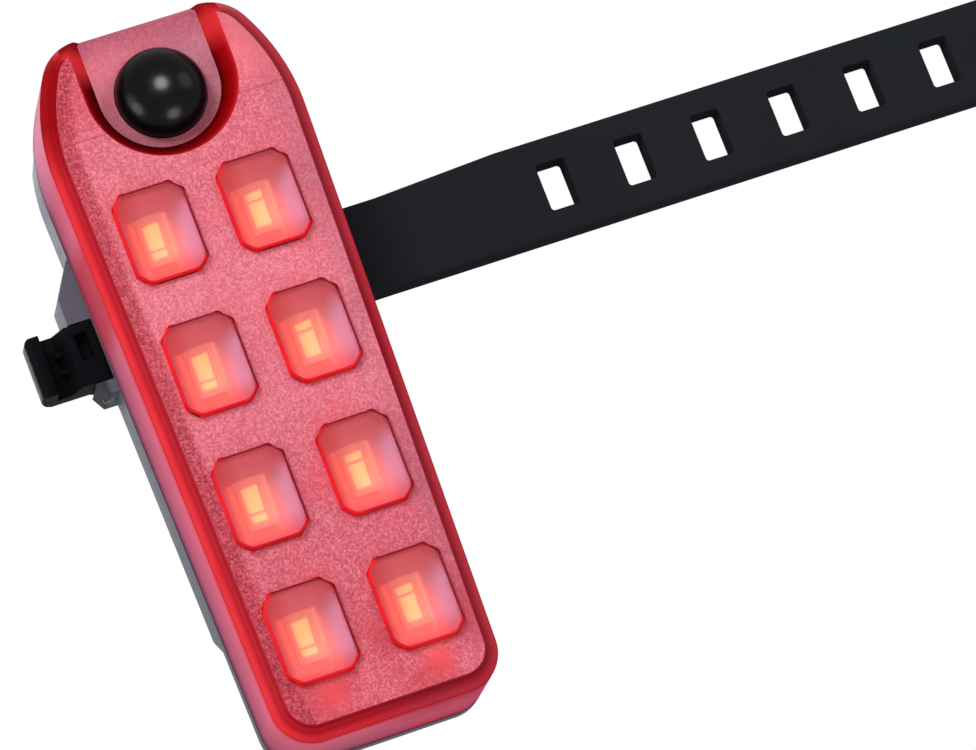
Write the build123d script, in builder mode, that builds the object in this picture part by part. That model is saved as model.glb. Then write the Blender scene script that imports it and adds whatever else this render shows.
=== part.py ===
from build123d import *
from math import atan2, cos, degrees, radians, sin, tan
import os

os.makedirs("parts", exist_ok=True)

# Bicycle rear light with a rubber ladder strap.
# X points to the strap's side, Z up the seat post, and the lamp shines towards -Y.
# The origin is on the seat post's axis, level with the middle of the strap.
# A "front" value is a distance ahead of the post's axis, a "height" one along it.

# Fits shared by all pieces
seat_gap = 0.05
slide_gap = 0.15
overrun = 6.0

# Seat post, rubber pad and saddle
post_radius = 13.6
post_arc = 112.0
pad_thickness = 2.0
pad_length = 26.0
pad_rounding = 0.5
saddle_web = 2.4
saddle_length = 28.0
saddle_half_width = 13.8
saddle_shoulder = 3.0
saddle_screw_spacing = 18.0
saddle_screw_radius = 1.0
saddle_screw_head_radius = 1.8
saddle_screw_head = 1.2
saddle_screw_bite = 2.6
drive_slot_width = 0.5
drive_slot_depth = 0.5

# Outline of the lamp, seen from the front
top_height = 30.7
bottom_height = -55.7
crown_half_width = 7.4
crown_radius = 5.6
shoulder_half_width = 15.3
shoulder_rise = 14.6
foot_half_width = 13.4
foot_radius = 4.8

# Depths of the lamp, back to front
housing_depth = 8.0
seal_space = 0.5
lens_depth = 12.0

# Lens
lens_wall = 1.5
face_wall = 1.6
bevel = 1.75
rows = 4
columns = 2
first_row_below_top = 25.3
last_row_above_bottom = 11.9
column_spacing = 12.6
window_width = 8.8
window_height = 11.3
window_chamfer = 1.4
window_raise = 0.7
window_edge = 0.2
recess_radius = 9.0
recess_inset = 1.8
recess_depth = 2.25
recess_below_top = 8.1
recess_roll = 0.5
floor_wall = 1.5

# Power button
button_below_top = 8.85
button_radius = 5.35
button_skirt = 0.3
dome_height = 4.0
dome_fullness_share = 0.55
button_flange_radius = 6.2
button_flange = 0.65
button_flange_gap = 0.1
button_cavity_radius = 3.7
button_crown_wall = 2.0
button_pip_radius = 1.2
button_travel = 0.5
button_free_play = 0.3

# Circuit board and what it carries
led_depth = 4.5
led_width = 3.0
led_length = 5.7
led_thickness = 0.9
led_window_width = 2.0
led_window_length = 4.4
led_window_depth = 0.3
led_rise = 0.45
board_thickness = 1.2
board_edge_gap = 0.4
boss_radius = 1.8
board_screw_radius = 0.8
board_screw_play = 0.3
board_screw_bite = 3.0
board_screw_head_radius = 1.7
board_screw_head = 1.0
switch_width = 4.6
switch_thickness = 1.9
switch_collar_radius = 1.5
switch_collar = 0.3
switch_floor = 0.3
plunger_radius = 1.0
plunger_foot_radius = 1.4
plunger_foot = 0.5
plunger_travel = 0.25
plunger_rise = 0.8
chip_width = 4.9
chip_length = 3.9
chip_thickness = 1.0
chip_side = 4.6
chip_below_top = 5.7
chip_lead_pitch = 1.27
chip_lead_width = 0.42
chip_lead_reach = 1.0
chip_lead_thickness = 0.2
chip_leads = 4
resistor_length = 1.6
resistor_width = 0.8
resistor_thickness = 0.5
resistor_side = 10.4
capacitor_length = 3.2
capacitor_width = 1.6
capacitor_thickness = 1.1

# Light wells behind the windows
well_margin = 0.4
well_foot_width = 4.2
well_foot_length = 6.8
frame_face_gap = 0.1
frame_ear_below_top = 12.2
frame_recess_gap = 0.6

# Rear housing
rim_depth = 2.7
rim_rounding = 1.2
tray_floor = 1.5
spigot_wall = 1.2
spigot_rise = 2.6
bulge_above_shoulder = 4.4
bulge_above_bottom = 19.9
bulge_top_slope = 2.4
bulge_bottom_slope = 5.2
bulge_rounding = 3.5
seal_inset = 0.35
seal_gap = 0.08

# Battery cells and their contacts
cell_radius = 5.2
cell_length = 44.2
cell_nub = 0.8
cell_nub_radius = 1.9
cell_rounding = 0.4
cell_side = 5.4
cell_play = 0.15
bay_floor = 1.5
bay_ridge = 3.6
contact_thickness = 0.4
contact_width = 8.0
contact_spring_length = 3.0
contact_spring_width = 3.0
contact_spring_reach = 3.4
contact_dimple = 1.0
contact_dimple_radius = 2.2
contact_tab_rise = 1.5
contact_foot = 2.0
finger_width = 3.0
finger_foot = 4.0
finger_gap = 0.35

# Lugs, pins, hook and strap
left_lug_reach = 2.45
right_lug_reach = 1.8
lug_top_height = 9.3
lug_top_slope = 4.2
lug_bottom_height = -7.4
lug_bottom_slope = 3.0
lug_bottom_step = 1.7
lug_back_gap = 1.6
lug_root = 2.0
pin_radius = 0.8
pin_end_gap = 0.8
hook_pin_front = 22.4
hook_pin_depth = 1.4
hook_below_strap = 2.0
hook_height = 7.4
hook_gap = 0.12
hook_front_gap = 0.1
hook_root_side = 14.1
hook_root_front = 25.0
hook_flank_step = 0.95
hook_block = 2.3
hook_block_back = 18.6
hook_back_slope = 1.1
hook_top_width = 3.35
hook_ramp = 1.3
hook_groove = 1.75
hook_groove_depth = 2.4
hook_plate = 1.9
hook_lip = 1.75
hook_lip_rise = 0.3
hook_rounding = 0.6
pocket_width = 1.5
pocket_length = 3.2
pocket_depth = 1.4
pocket_offset = 0.9
hook_rib = 0.5
hook_rib_pitch = 2.1
hook_ribs = 2
strap_pin_front = 23.2
strap_pin_side = 15.9
strap_thickness = 3.2
strap_width = 11.2
strap_rounding = 0.5
strap_bore_gap = 0.05
strap_side_gap = 0.2
strap_swing_gap = 0.25
strap_holes = 10
first_hole = 27.0
hole_pitch = 9.88
hole_width = 3.6
hole_length = 5.5
hole_rounding = 0.4
strap_end_margin = 8.5
strap_end_radius = 3.5

# Places that follow from the sizes above
saddle_seat = post_radius + pad_thickness
housing_back = saddle_seat + saddle_web
rim_front = housing_back + housing_depth
lens_rear = rim_front + seal_space
face_front = lens_rear + lens_depth
recess_floor = face_front - recess_depth
floor_underside = recess_floor - floor_wall
face_underside = face_front - face_wall
board_front = face_front - led_depth - led_thickness
board_back = board_front - board_thickness
first_row_height = top_height - first_row_below_top
last_row_height = bottom_height + last_row_above_bottom
middle_row_height = (first_row_height + last_row_height) / 2
row_pitch = (first_row_height - last_row_height) / (rows - 1)
button_height = top_height - button_below_top
recess_height = top_height - recess_below_top
shoulder_height = top_height - shoulder_rise
bulge_top_height = shoulder_height + bulge_above_shoulder
bulge_bottom_height = bottom_height + bulge_above_bottom
spigot_outer = lens_wall + slide_gap
spigot_inner = spigot_outer + spigot_wall
tray_front = rim_front - rim_depth + tray_floor
bay_middle_height = (bulge_top_height + bulge_bottom_height) / 2
bay_length = cell_length + contact_spring_length + contact_dimple + 2 * contact_thickness
bay_top_height = bay_middle_height + bay_length / 2
bay_bottom_height = bay_middle_height - bay_length / 2
cell_front = housing_back + bay_floor + cell_play + cell_radius
half_strap = strap_width / 2
hook_pin_side = hook_root_side + hook_pin_depth
hook_flank_side = hook_root_side + hook_flank_step
hook_block_side = hook_root_side + hook_block
hook_ramp_side = hook_flank_side + hook_top_width
hook_groove_side = hook_ramp_side + hook_ramp
hook_low = -hook_below_strap - hook_height / 2
hook_high = -hook_below_strap + hook_height / 2
left, right = -1, 1


def level(front):
    """A drawing plane that looks at the lamp from its front, at a distance ahead of the post."""
    return Plane.XZ.offset(front)


def turning_plane(side, height):
    """A plane through an axis that points to the front: local x is a radius, local y the front."""
    return Plane(origin=(side, 0, height), x_dir=(1, 0, 0), z_dir=(0, 0, -1))


def front_axis(side, height):
    """The axis of whatever is turned about a line that points to the front."""
    return Axis((side, 0, height), (0, -1, 0))


# Outline of the lamp: tapered sides, square foot and a shoulder of two arcs that meet smoothly
crown_run = shoulder_half_width - crown_half_width
arc_rise = shoulder_rise - crown_radius
side_radius = (crown_run**2 + arc_rise**2 - crown_radius**2) / (2 * (crown_run - crown_radius))
side_angle = degrees(atan2(arc_rise, side_radius - crown_run))

with BuildSketch() as plan:
    with BuildLine():
        side_arc = CenterArc((shoulder_half_width - side_radius, shoulder_height), side_radius, 0, side_angle)
        crown_centre = (crown_half_width, top_height - crown_radius)
        crown_arc = CenterArc(crown_centre, crown_radius, side_angle, 90 - side_angle)
        Polyline(
            crown_arc @ 1,
            (0, top_height),
            (0, bottom_height),
            (foot_half_width, bottom_height),
            side_arc @ 0,
        )
    make_face()
    mirror(about=Plane.YZ)
    fillet(plan.vertices().group_by(Axis.Y)[0], foot_radius)


def outline(inset):
    """The lamp's outline drawn in by an inset, or let out by a negative one."""
    with BuildSketch(Plane.XY, mode=Mode.PRIVATE) as inner:
        add(plan.sketch)
        offset(amount=-inset, kind=Kind.INTERSECTION)
    return inner.sketch


def recess_outline(radius):
    """The U of the button's recess, which runs out over the top edge."""
    rise = top_height + overrun - recess_height
    with BuildSketch(Plane.XY, mode=Mode.PRIVATE) as recess:
        with Locations((0, recess_height)):
            Circle(radius)
        with Locations((0, recess_height + rise / 2)):
            Rectangle(2 * radius, rise)
    return recess.sketch


def window_points():
    """The middle of each window, row by row from the top, left before right."""
    return [
        (side * column_spacing / 2, first_row_height - row * row_pitch)
        for row in range(rows)
        for side in (left, right)
    ]


def boss_points():
    """The two bosses on the centre line, below the first row and above the last."""
    return [(0, first_row_height - row_pitch / 2), (0, last_row_height + row_pitch / 2)]


def finish(builder, name):
    """Label a finished piece and write it."""
    builder.part.label = name
    export_step(builder.part, f"parts/{name}.step")


# Front lens: bevelled cup with raised windows and the button's recess
recess_slope = degrees(atan2(recess_inset, recess_depth))

with BuildPart() as front_lens:
    with BuildSketch(level(lens_rear)):
        add(plan.sketch)
    extrude(amount=lens_depth)
    chamfer(front_lens.edges().group_by(Axis.Y)[0], bevel)
    with BuildSketch(level(recess_floor)):
        add(recess_outline(recess_radius - recess_inset))
    extrude(amount=recess_depth + window_raise, taper=-recess_slope, mode=Mode.SUBTRACT)
    floor_edge = front_lens.edges().filter_by(Axis.X).group_by(Axis.Z)[-1].sort_by(Axis.Y)[0]
    chamfer(floor_edge, recess_roll)
    with BuildSketch(level(lens_rear)):
        add(outline(lens_wall))
    extrude(amount=floor_underside - lens_rear, mode=Mode.SUBTRACT)
    with BuildSketch(level(floor_underside)):
        add(outline(lens_wall))
        add(recess_outline(recess_radius), mode=Mode.SUBTRACT)
    extrude(amount=face_underside - floor_underside, mode=Mode.SUBTRACT)
    with BuildSketch(level(face_underside)) as window_sketch:
        with Locations(*window_points()):
            Rectangle(window_width, window_height)
        chamfer(window_sketch.vertices(), window_chamfer)
    extrude(amount=face_wall + window_raise)
    fillet(front_lens.edges().group_by(Axis.Y)[0], window_edge)
    with BuildSketch(level(board_front)):
        with Locations(*boss_points()):
            Circle(boss_radius)
            Circle(board_screw_radius, mode=Mode.SUBTRACT)
    extrude(amount=face_underside - board_front)
    with BuildSketch(level(lens_rear)):
        with Locations((0, button_height)):
            Circle(button_radius + slide_gap / 2)
    extrude(amount=lens_depth, mode=Mode.SUBTRACT)
finish(front_lens, "front_lens")

# Power button: a hollow dome with a flange under the lens and a pip over the switch
flange_front = floor_underside - button_flange_gap
flange_back = flange_front - button_flange
skirt_front = recess_floor + button_skirt
dome_top = skirt_front + dome_height
plunger_front = board_front + switch_thickness + switch_collar + plunger_rise
pip_end = plunger_front + button_free_play
cavity_top = dome_top - button_crown_wall

with BuildPart() as power_button:
    with BuildSketch(turning_plane(0, button_height)):
        with BuildLine():
            Bezier(
                (button_radius, skirt_front),
                (button_radius, skirt_front + dome_fullness_share * dome_height),
                (dome_fullness_share * button_radius, dome_top),
                (0, dome_top),
            )
            Polyline(
                (0, dome_top),
                (0, pip_end),
                (button_pip_radius, pip_end),
                (button_pip_radius, cavity_top),
                (button_cavity_radius, cavity_top),
                (button_cavity_radius, flange_back),
                (button_flange_radius, flange_back),
                (button_flange_radius, flange_front),
                (button_radius, flange_front),
                (button_radius, skirt_front),
            )
        make_face()
    revolve(axis=front_axis(0, button_height))
finish(power_button, "power_button")

# Frame of light wells: one tapered well for each light, held between the board and the lens
frame_front = face_underside - frame_face_gap
frame_depth = frame_front - board_front
well_width = window_width - 2 * well_margin
well_slope = degrees(atan2((well_width - well_foot_width) / 2, frame_depth))
frame_top_height = top_height - frame_ear_below_top

with BuildPart() as light_well_frame:
    with BuildSketch(level(board_front)):
        add(outline(spigot_outer + seat_gap))
        with Locations((0, frame_top_height + frame_ear_below_top)):
            Rectangle(2 * shoulder_half_width, 2 * frame_ear_below_top, mode=Mode.SUBTRACT)
        add(recess_outline(recess_radius + frame_recess_gap), mode=Mode.SUBTRACT)
        with Locations(*boss_points()):
            Circle(boss_radius + seat_gap, mode=Mode.SUBTRACT)
    extrude(amount=frame_depth)
    with BuildSketch(level(board_front)):
        with Locations(*window_points()):
            Rectangle(well_foot_width, well_foot_length)
    extrude(amount=frame_depth, taper=-well_slope, mode=Mode.SUBTRACT)
finish(light_well_frame, "light_well_frame")

# Circuit board
with BuildPart() as circuit_board:
    with BuildSketch(level(board_back)):
        add(outline(lens_wall + board_edge_gap))
        with Locations(*boss_points()):
            Circle(board_screw_radius + board_screw_play, mode=Mode.SUBTRACT)
    extrude(amount=board_thickness)
finish(circuit_board, "circuit_board")

# Screws that hold the board on the lens's bosses
with BuildPart() as board_screws:
    with BuildSketch(level(board_back - board_screw_head)):
        with Locations(*boss_points()):
            Circle(board_screw_head_radius)
    extrude(amount=board_screw_head)
    with BuildSketch(level(board_back)):
        with Locations(*boss_points()):
            Circle(board_screw_radius - seat_gap)
    extrude(amount=board_thickness + board_screw_bite)
    with BuildSketch(level(board_back - board_screw_head)):
        with Locations(*boss_points()):
            Rectangle(2 * board_screw_head_radius, drive_slot_width)
            Rectangle(drive_slot_width, 2 * board_screw_head_radius)
    extrude(amount=drive_slot_depth, mode=Mode.SUBTRACT)
finish(board_screws, "board_screws")


# Light-emitting diodes: packages with a shallow well for the glowing gel
def make_led(point):
    """One package on the board, behind the middle of its window."""
    side, height = point
    with BuildPart() as led:
        with BuildSketch(level(board_front)):
            with Locations((side, height + led_rise)):
                Rectangle(led_width, led_length)
        extrude(amount=led_thickness)
        with BuildSketch(level(board_front + led_thickness)):
            with Locations((side, height + led_rise)):
                Rectangle(led_window_width, led_window_length)
        extrude(amount=-led_window_depth, mode=Mode.SUBTRACT)
    return led


for number, point in enumerate(window_points(), start=1):
    finish(make_led(point), f"led_{number}")

# Control chip with its gull-wing leads, on the back of the board
chip_height = top_height - chip_below_top

with BuildPart() as control_chip:
    with BuildSketch(level(board_back)):
        with Locations((-chip_side, chip_height)):
            Rectangle(chip_width, chip_length)
    extrude(amount=-chip_thickness)
    with BuildSketch(level(board_back)):
        with Locations((-chip_side, chip_height)):
            with GridLocations(chip_lead_pitch, 0, chip_leads, 1):
                Rectangle(chip_lead_width, chip_length + 2 * chip_lead_reach)
    extrude(amount=-chip_lead_thickness)
finish(control_chip, "control_chip")

# Resistors, one beside each light, and a capacitor
with BuildPart() as chip_resistors:
    with BuildSketch(level(board_back)):
        with Locations((0, middle_row_height)):
            with GridLocations(2 * resistor_side, row_pitch, columns, rows):
                Rectangle(resistor_width, resistor_length)
    extrude(amount=-resistor_thickness)
finish(chip_resistors, "chip_resistors")

with BuildPart() as chip_capacitor:
    with BuildSketch(level(board_back)):
        with Locations((chip_side, chip_height)):
            Rectangle(capacitor_length, capacitor_width)
    extrude(amount=-capacitor_thickness)
finish(chip_capacitor, "chip_capacitor")

# Push switch under the button: body with a collar, and its plunger
switch_front = board_front + switch_thickness
foot_front = switch_front - switch_floor
foot_back = foot_front - plunger_foot

with BuildPart() as switch_body:
    with BuildSketch(level(board_front)):
        with Locations((0, button_height)):
            Rectangle(switch_width, switch_width)
    extrude(amount=switch_thickness)
    with BuildSketch(level(switch_front)):
        with Locations((0, button_height)):
            Circle(switch_collar_radius)
    extrude(amount=switch_collar)
    with BuildSketch(level(board_front + switch_floor)):
        with Locations((0, button_height)):
            Circle(plunger_foot_radius + seat_gap)
    extrude(amount=switch_thickness - 2 * switch_floor + seat_gap, mode=Mode.SUBTRACT)
    with BuildSketch(level(board_front + switch_floor)):
        with Locations((0, button_height)):
            Circle(plunger_radius + seat_gap)
    extrude(amount=switch_thickness + switch_collar, mode=Mode.SUBTRACT)
finish(switch_body, "switch_body")

with BuildPart() as switch_plunger:
    with BuildSketch(turning_plane(0, button_height)):
        with BuildLine():
            Polyline(
                (0, foot_back),
                (plunger_foot_radius, foot_back),
                (plunger_foot_radius, foot_front),
                (plunger_radius, foot_front),
                (plunger_radius, plunger_front),
                (0, plunger_front),
                close=True,
            )
        make_face()
    revolve(axis=front_axis(0, button_height))
finish(switch_plunger, "switch_plunger")

# Bulge of the rear housing: the battery box, with sloped ends and rounded back edges
with BuildPart() as bulge:
    with BuildSketch(Plane.YZ):
        with BuildLine():
            Polyline(
                (-housing_back, bulge_top_height),
                (-housing_back, bulge_bottom_height),
                (-rim_front, bulge_bottom_height - bulge_bottom_slope),
                (-rim_front, bulge_top_height + bulge_top_slope),
                close=True,
            )
        make_face()
    extrude(amount=shoulder_half_width + overrun, both=True)
    with BuildSketch(level(housing_back)):
        add(plan.sketch)
    extrude(amount=housing_depth, mode=Mode.INTERSECT)
    fillet(bulge.edges().group_by(Axis.Y)[-1], bulge_rounding)


# Lugs on both flanks: each pair holds a pin, the left pair for the hook and the right for the strap
def lug_sketch(side, lug_reach, low, high):
    """The plan of one lug between two heights, cut from the flank's whole lug."""
    reach = shoulder_half_width + lug_reach
    root = foot_half_width - lug_root
    with BuildSketch(Plane.XY, mode=Mode.PRIVATE) as lug:
        with BuildLine():
            Polyline(
                (side * root, lug_top_height),
                (side * shoulder_half_width, lug_top_height),
                (side * reach, lug_top_height - lug_top_slope),
                (side * reach, lug_bottom_height + lug_bottom_slope),
                (side * (reach - lug_bottom_step), lug_bottom_height),
                (side * root, lug_bottom_height),
                close=True,
            )
        make_face()
        with Locations((side * reach, (low + high) / 2)):
            Rectangle(2 * reach, high - low, mode=Mode.INTERSECT)
    return lug.sketch


lug_back = housing_back + lug_back_gap
hook_notch_low = hook_low - hook_gap
hook_notch_high = hook_high + hook_gap
strap_notch = half_strap + strap_side_gap
strap_recess_side = strap_pin_side - strap_thickness / 2 - strap_swing_gap
strap_recess_front = strap_pin_front + strap_thickness / 2 + strap_swing_gap
hook_recess_side = hook_root_side - seat_gap
pin_length = lug_top_height - lug_top_slope / 2 - pin_end_gap - lug_bottom_height
lugs = [
    (left, left_lug_reach, lug_bottom_height, hook_notch_low),
    (left, left_lug_reach, hook_notch_high, lug_top_height),
    (right, right_lug_reach, lug_bottom_height, -strap_notch),
    (right, right_lug_reach, strap_notch, lug_top_height),
]

with BuildPart() as rear_housing:
    with BuildSketch(level(rim_front - rim_depth)):
        add(plan.sketch)
    extrude(amount=rim_depth)
    fillet(rear_housing.edges().group_by(Axis.Y)[-1], rim_rounding)
    add(bulge.part)
    for side, lug_reach, low, high in lugs:
        with BuildSketch(level(lug_back)):
            add(lug_sketch(side, lug_reach, low, high))
        extrude(amount=rim_front - lug_back)
    with BuildSketch(level(tray_front)):
        add(outline(spigot_outer))
    extrude(amount=rim_front + spigot_rise - tray_front)
    with BuildSketch(level(tray_front)):
        add(outline(spigot_inner))
    extrude(amount=housing_depth + spigot_rise, mode=Mode.SUBTRACT)
    with BuildSketch(Plane.XY.offset(bay_bottom_height)):
        with Locations(*[(side * cell_side, -cell_front) for side in (left, right)]):
            Circle(cell_radius + cell_play)
        with Locations(*[(side * cell_side, -cell_front - overrun / 2) for side in (left, right)]):
            Rectangle(2 * (cell_radius + cell_play), overrun)
        with Locations((0, -housing_back - bay_ridge - overrun)):
            Rectangle(2 * cell_side, 2 * overrun)
    extrude(amount=bay_length, mode=Mode.SUBTRACT)
    with BuildSketch(Plane.XY.offset(hook_notch_low)):
        with Locations((-hook_recess_side - overrun / 2, -hook_root_front / 2 - seat_gap)):
            Rectangle(overrun, hook_root_front)
    extrude(amount=hook_notch_high - hook_notch_low, mode=Mode.SUBTRACT)
    with BuildSketch(Plane.XY.offset(-strap_notch)):
        with Locations((strap_recess_side + overrun / 2, -strap_recess_front / 2)):
            Rectangle(overrun, strap_recess_front)
    extrude(amount=2 * strap_notch, mode=Mode.SUBTRACT)
    with BuildSketch(Plane.XY.offset(lug_bottom_height)):
        with Locations((-hook_pin_side, -hook_pin_front), (strap_pin_side, -strap_pin_front)):
            Circle(pin_radius + seat_gap / 2)
    extrude(amount=pin_length, mode=Mode.SUBTRACT)
    with BuildSketch(level(housing_back)):
        with GridLocations(0, saddle_screw_spacing, 1, columns):
            Circle(saddle_screw_radius)
    extrude(amount=saddle_screw_bite, mode=Mode.SUBTRACT)
finish(rear_housing, "rear_housing")

# Rubber seal in the seam between the lens and the housing
with BuildPart() as seal_ring:
    with BuildSketch(level(rim_front)):
        add(outline(seal_inset))
        add(outline(spigot_outer - seat_gap), mode=Mode.SUBTRACT)
    extrude(amount=seal_space - seal_gap)
finish(seal_ring, "seal_ring")


# Battery cells, head to tail: the left one's nub is up
def make_cell(side):
    """One cell with its nub and its flat end."""
    turn = -side
    flat_height = bay_middle_height + side * (bay_length / 2 - contact_thickness - contact_spring_length)
    with BuildPart() as cell:
        with BuildSketch(Plane.XY.offset(flat_height)):
            with Locations((side * cell_side, -cell_front)):
                Circle(cell_radius)
        extrude(amount=turn * (cell_length - cell_nub))
        fillet(cell.edges().filter_by(GeomType.CIRCLE), cell_rounding)
        with BuildSketch(Plane.XY.offset(flat_height)):
            with Locations((side * cell_side, -cell_front)):
                Circle(cell_nub_radius)
        extrude(amount=turn * cell_length)
    return cell


finish(make_cell(left), "battery_cell_left")
finish(make_cell(right), "battery_cell_right")


# Contacts: a leaf spring at each flat end and a dimple at each nub
def contact_plate(side, wall_height, inwards, width):
    """The plate of a contact, flat against the end of the battery bay."""
    plate_back = cell_front - cell_radius + contact_foot
    plate_front = cell_front + cell_radius - contact_foot
    with BuildSketch(Plane.XY.offset(wall_height), mode=Mode.PRIVATE) as plate:
        with Locations((side, -(plate_back + plate_front) / 2)):
            Rectangle(width, plate_front - plate_back)
    extrude(plate.sketch, amount=inwards * contact_thickness)


def contact_leaf(side, wall_height, inwards):
    """A bent leaf that presses on a cell's flat end."""
    reach = contact_thickness + contact_spring_length - seat_gap - contact_thickness / 2
    with BuildSketch(Plane.YZ.offset(side - contact_spring_width / 2), mode=Mode.PRIVATE) as leaf:
        with BuildLine() as bend:
            Polyline(
                (-cell_front - contact_spring_reach, wall_height + inwards * contact_thickness / 2),
                (-cell_front - contact_thickness, wall_height + inwards * reach),
                (-cell_front + contact_thickness, wall_height + inwards * reach),
                (-cell_front + contact_spring_reach, wall_height + inwards * (contact_spring_length / 2)),
            )
        trace(bend.line, contact_thickness)
    extrude(leaf.sketch, amount=contact_spring_width)


def contact_bump(side, wall_height, inwards):
    """A round dimple that meets a cell's nub."""
    with BuildSketch(Plane.XY.offset(wall_height), mode=Mode.PRIVATE) as bump:
        with Locations((side, -cell_front)):
            Circle(contact_dimple_radius)
    extrude(bump.sketch, amount=inwards * (contact_thickness + contact_dimple - seat_gap))


with BuildPart() as bridge_contact:
    contact_plate(0, bay_top_height, -1, 2 * cell_side + contact_width)
    contact_leaf(cell_side, bay_top_height, -1)
    contact_bump(-cell_side, bay_top_height, -1)
finish(bridge_contact, "bridge_contact")

with BuildPart() as negative_contact:
    contact_plate(-cell_side, bay_bottom_height, 1, contact_width)
    contact_leaf(-cell_side, bay_bottom_height, 1)
finish(negative_contact, "negative_contact")

with BuildPart() as positive_contact:
    contact_plate(cell_side, bay_bottom_height, 1, contact_width)
    contact_bump(cell_side, bay_bottom_height, 1)
finish(positive_contact, "positive_contact")

# Spring fingers on the back of the board, which reach the two contacts at the bay's foot
finger_end = cell_front + cell_radius - contact_foot + finger_gap

with BuildPart() as contact_fingers:
    for side in (left, right):
        with BuildSketch(Plane.YZ.offset(side * cell_side - finger_width / 2)):
            with BuildLine() as bend:
                Polyline(
                    (-board_back + contact_thickness / 2, bay_bottom_height - finger_foot),
                    (-board_back + contact_thickness / 2, bay_bottom_height + contact_thickness),
                    (-finger_end, bay_bottom_height + contact_thickness / 2),
                )
            trace(bend.line, contact_thickness)
        extrude(amount=finger_width)
    with BuildSketch(level(board_back)):
        with Locations((0, bay_bottom_height)):
            Rectangle(2 * shoulder_half_width, 2 * shoulder_half_width)
    extrude(amount=contact_thickness, mode=Mode.SUBTRACT)
finish(contact_fingers, "contact_fingers")

# Saddle behind the housing, hollowed to the post and its pad
tip_front = saddle_seat * cos(radians(post_arc / 2))

with BuildPart() as post_saddle:
    with BuildSketch(Plane.XY.offset(-saddle_length / 2)):
        with BuildLine():
            Polyline(
                (-saddle_half_width, -tip_front),
                (-saddle_half_width, -housing_back + saddle_shoulder),
                (-saddle_half_width + saddle_shoulder, -housing_back),
                (saddle_half_width - saddle_shoulder, -housing_back),
                (saddle_half_width, -housing_back + saddle_shoulder),
                (saddle_half_width, -tip_front),
                close=True,
            )
        make_face()
        Circle(saddle_seat, mode=Mode.SUBTRACT)
    extrude(amount=saddle_length)
    with BuildSketch(level(saddle_seat)):
        with GridLocations(0, saddle_screw_spacing, 1, columns):
            Circle(saddle_screw_radius + seat_gap)
    extrude(amount=saddle_web, mode=Mode.SUBTRACT)
    with BuildSketch(level(0)):
        with GridLocations(0, saddle_screw_spacing, 1, columns):
            Circle(saddle_screw_head_radius + seat_gap)
    extrude(amount=saddle_seat + saddle_screw_head + seat_gap, mode=Mode.SUBTRACT)
finish(post_saddle, "post_saddle")

# Screws through the saddle into the ridge between the cells
with BuildPart() as saddle_screws:
    with BuildSketch(level(saddle_seat + seat_gap)):
        with GridLocations(0, saddle_screw_spacing, 1, columns):
            Circle(saddle_screw_head_radius)
    extrude(amount=saddle_screw_head)
    with BuildSketch(level(saddle_seat + saddle_screw_head)):
        with GridLocations(0, saddle_screw_spacing, 1, columns):
            Circle(saddle_screw_radius - seat_gap)
    extrude(amount=saddle_web - saddle_screw_head + saddle_screw_bite)
    with BuildSketch(level(saddle_seat)):
        with GridLocations(0, saddle_screw_spacing, 1, columns):
            Rectangle(2 * saddle_screw_head_radius, drive_slot_width)
            Rectangle(drive_slot_width, 2 * saddle_screw_head_radius)
    extrude(amount=drive_slot_depth + seat_gap, mode=Mode.SUBTRACT)
finish(saddle_screws, "saddle_screws")

# Rubber pad that grips the post
wedge_reach = saddle_seat + overrun
wedge_half = wedge_reach * tan(radians(post_arc / 2))

with BuildPart() as saddle_pad:
    with BuildSketch(Plane.XY.offset(-pad_length / 2)):
        Circle(saddle_seat)
        Circle(post_radius, mode=Mode.SUBTRACT)
        with BuildLine():
            Polyline((0, 0), (-wedge_half, -wedge_reach), (wedge_half, -wedge_reach), close=True)
        make_face(mode=Mode.INTERSECT)
    extrude(amount=pad_length)
finish(saddle_pad, "saddle_pad")

# Hook: a black arm between the left lugs, with a groove for the strap's rungs and a raised lip
hook_front = rim_front - hook_front_gap
groove_outer = hook_groove_side + hook_groove
lip_side = groove_outer + hook_lip
groove_floor = hook_front - hook_groove_depth
hook_back = groove_floor - hook_plate
lip_front = hook_front + hook_lip_rise

with BuildPart() as strap_hook:
    with BuildSketch(Plane.XY.offset(hook_low)):
        with BuildLine():
            Polyline(
                (-hook_root_side, -hook_root_front),
                (-hook_root_side, -hook_block_back),
                (-hook_block_side, -hook_block_back),
                (-hook_block_side, -hook_back + hook_back_slope),
                (-hook_block_side - hook_back_slope, -hook_back),
                (-lip_side + hook_back_slope, -hook_back),
                (-lip_side, -hook_back - hook_back_slope),
                (-lip_side, -lip_front + hook_rounding),
                (-lip_side + hook_rounding, -lip_front),
                (-groove_outer, -lip_front),
                (-groove_outer, -groove_floor),
                (-hook_groove_side, -groove_floor),
                (-hook_ramp_side, -hook_front),
                (-hook_flank_side, -hook_front),
                (-hook_flank_side, -hook_root_front),
                close=True,
            )
        make_face()
    extrude(amount=hook_height)
    fillet(strap_hook.faces().sort_by(Axis.X)[0].edges().filter_by(Axis.Y), hook_rounding)
    pocket_middle = -(hook_flank_side + hook_ramp_side) / 2
    with BuildSketch(level(hook_front - pocket_depth)):
        with Locations((pocket_middle, pocket_offset - hook_below_strap)):
            Rectangle(pocket_width, pocket_length)
    extrude(amount=pocket_depth, mode=Mode.SUBTRACT)
    with BuildSketch(level(groove_floor)):
        with Locations((-hook_groove_side, -hook_below_strap)):
            with GridLocations(0, hook_rib_pitch, 1, hook_ribs):
                Rectangle(2 * hook_rib, hook_rib)
    extrude(amount=hook_groove_depth / 2)
    with BuildSketch(Plane.XY.offset(hook_low)):
        with Locations((-hook_pin_side, -hook_pin_front)):
            Circle(pin_radius + seat_gap / 2)
    extrude(amount=hook_height, mode=Mode.SUBTRACT)
finish(strap_hook, "strap_hook")


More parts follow.
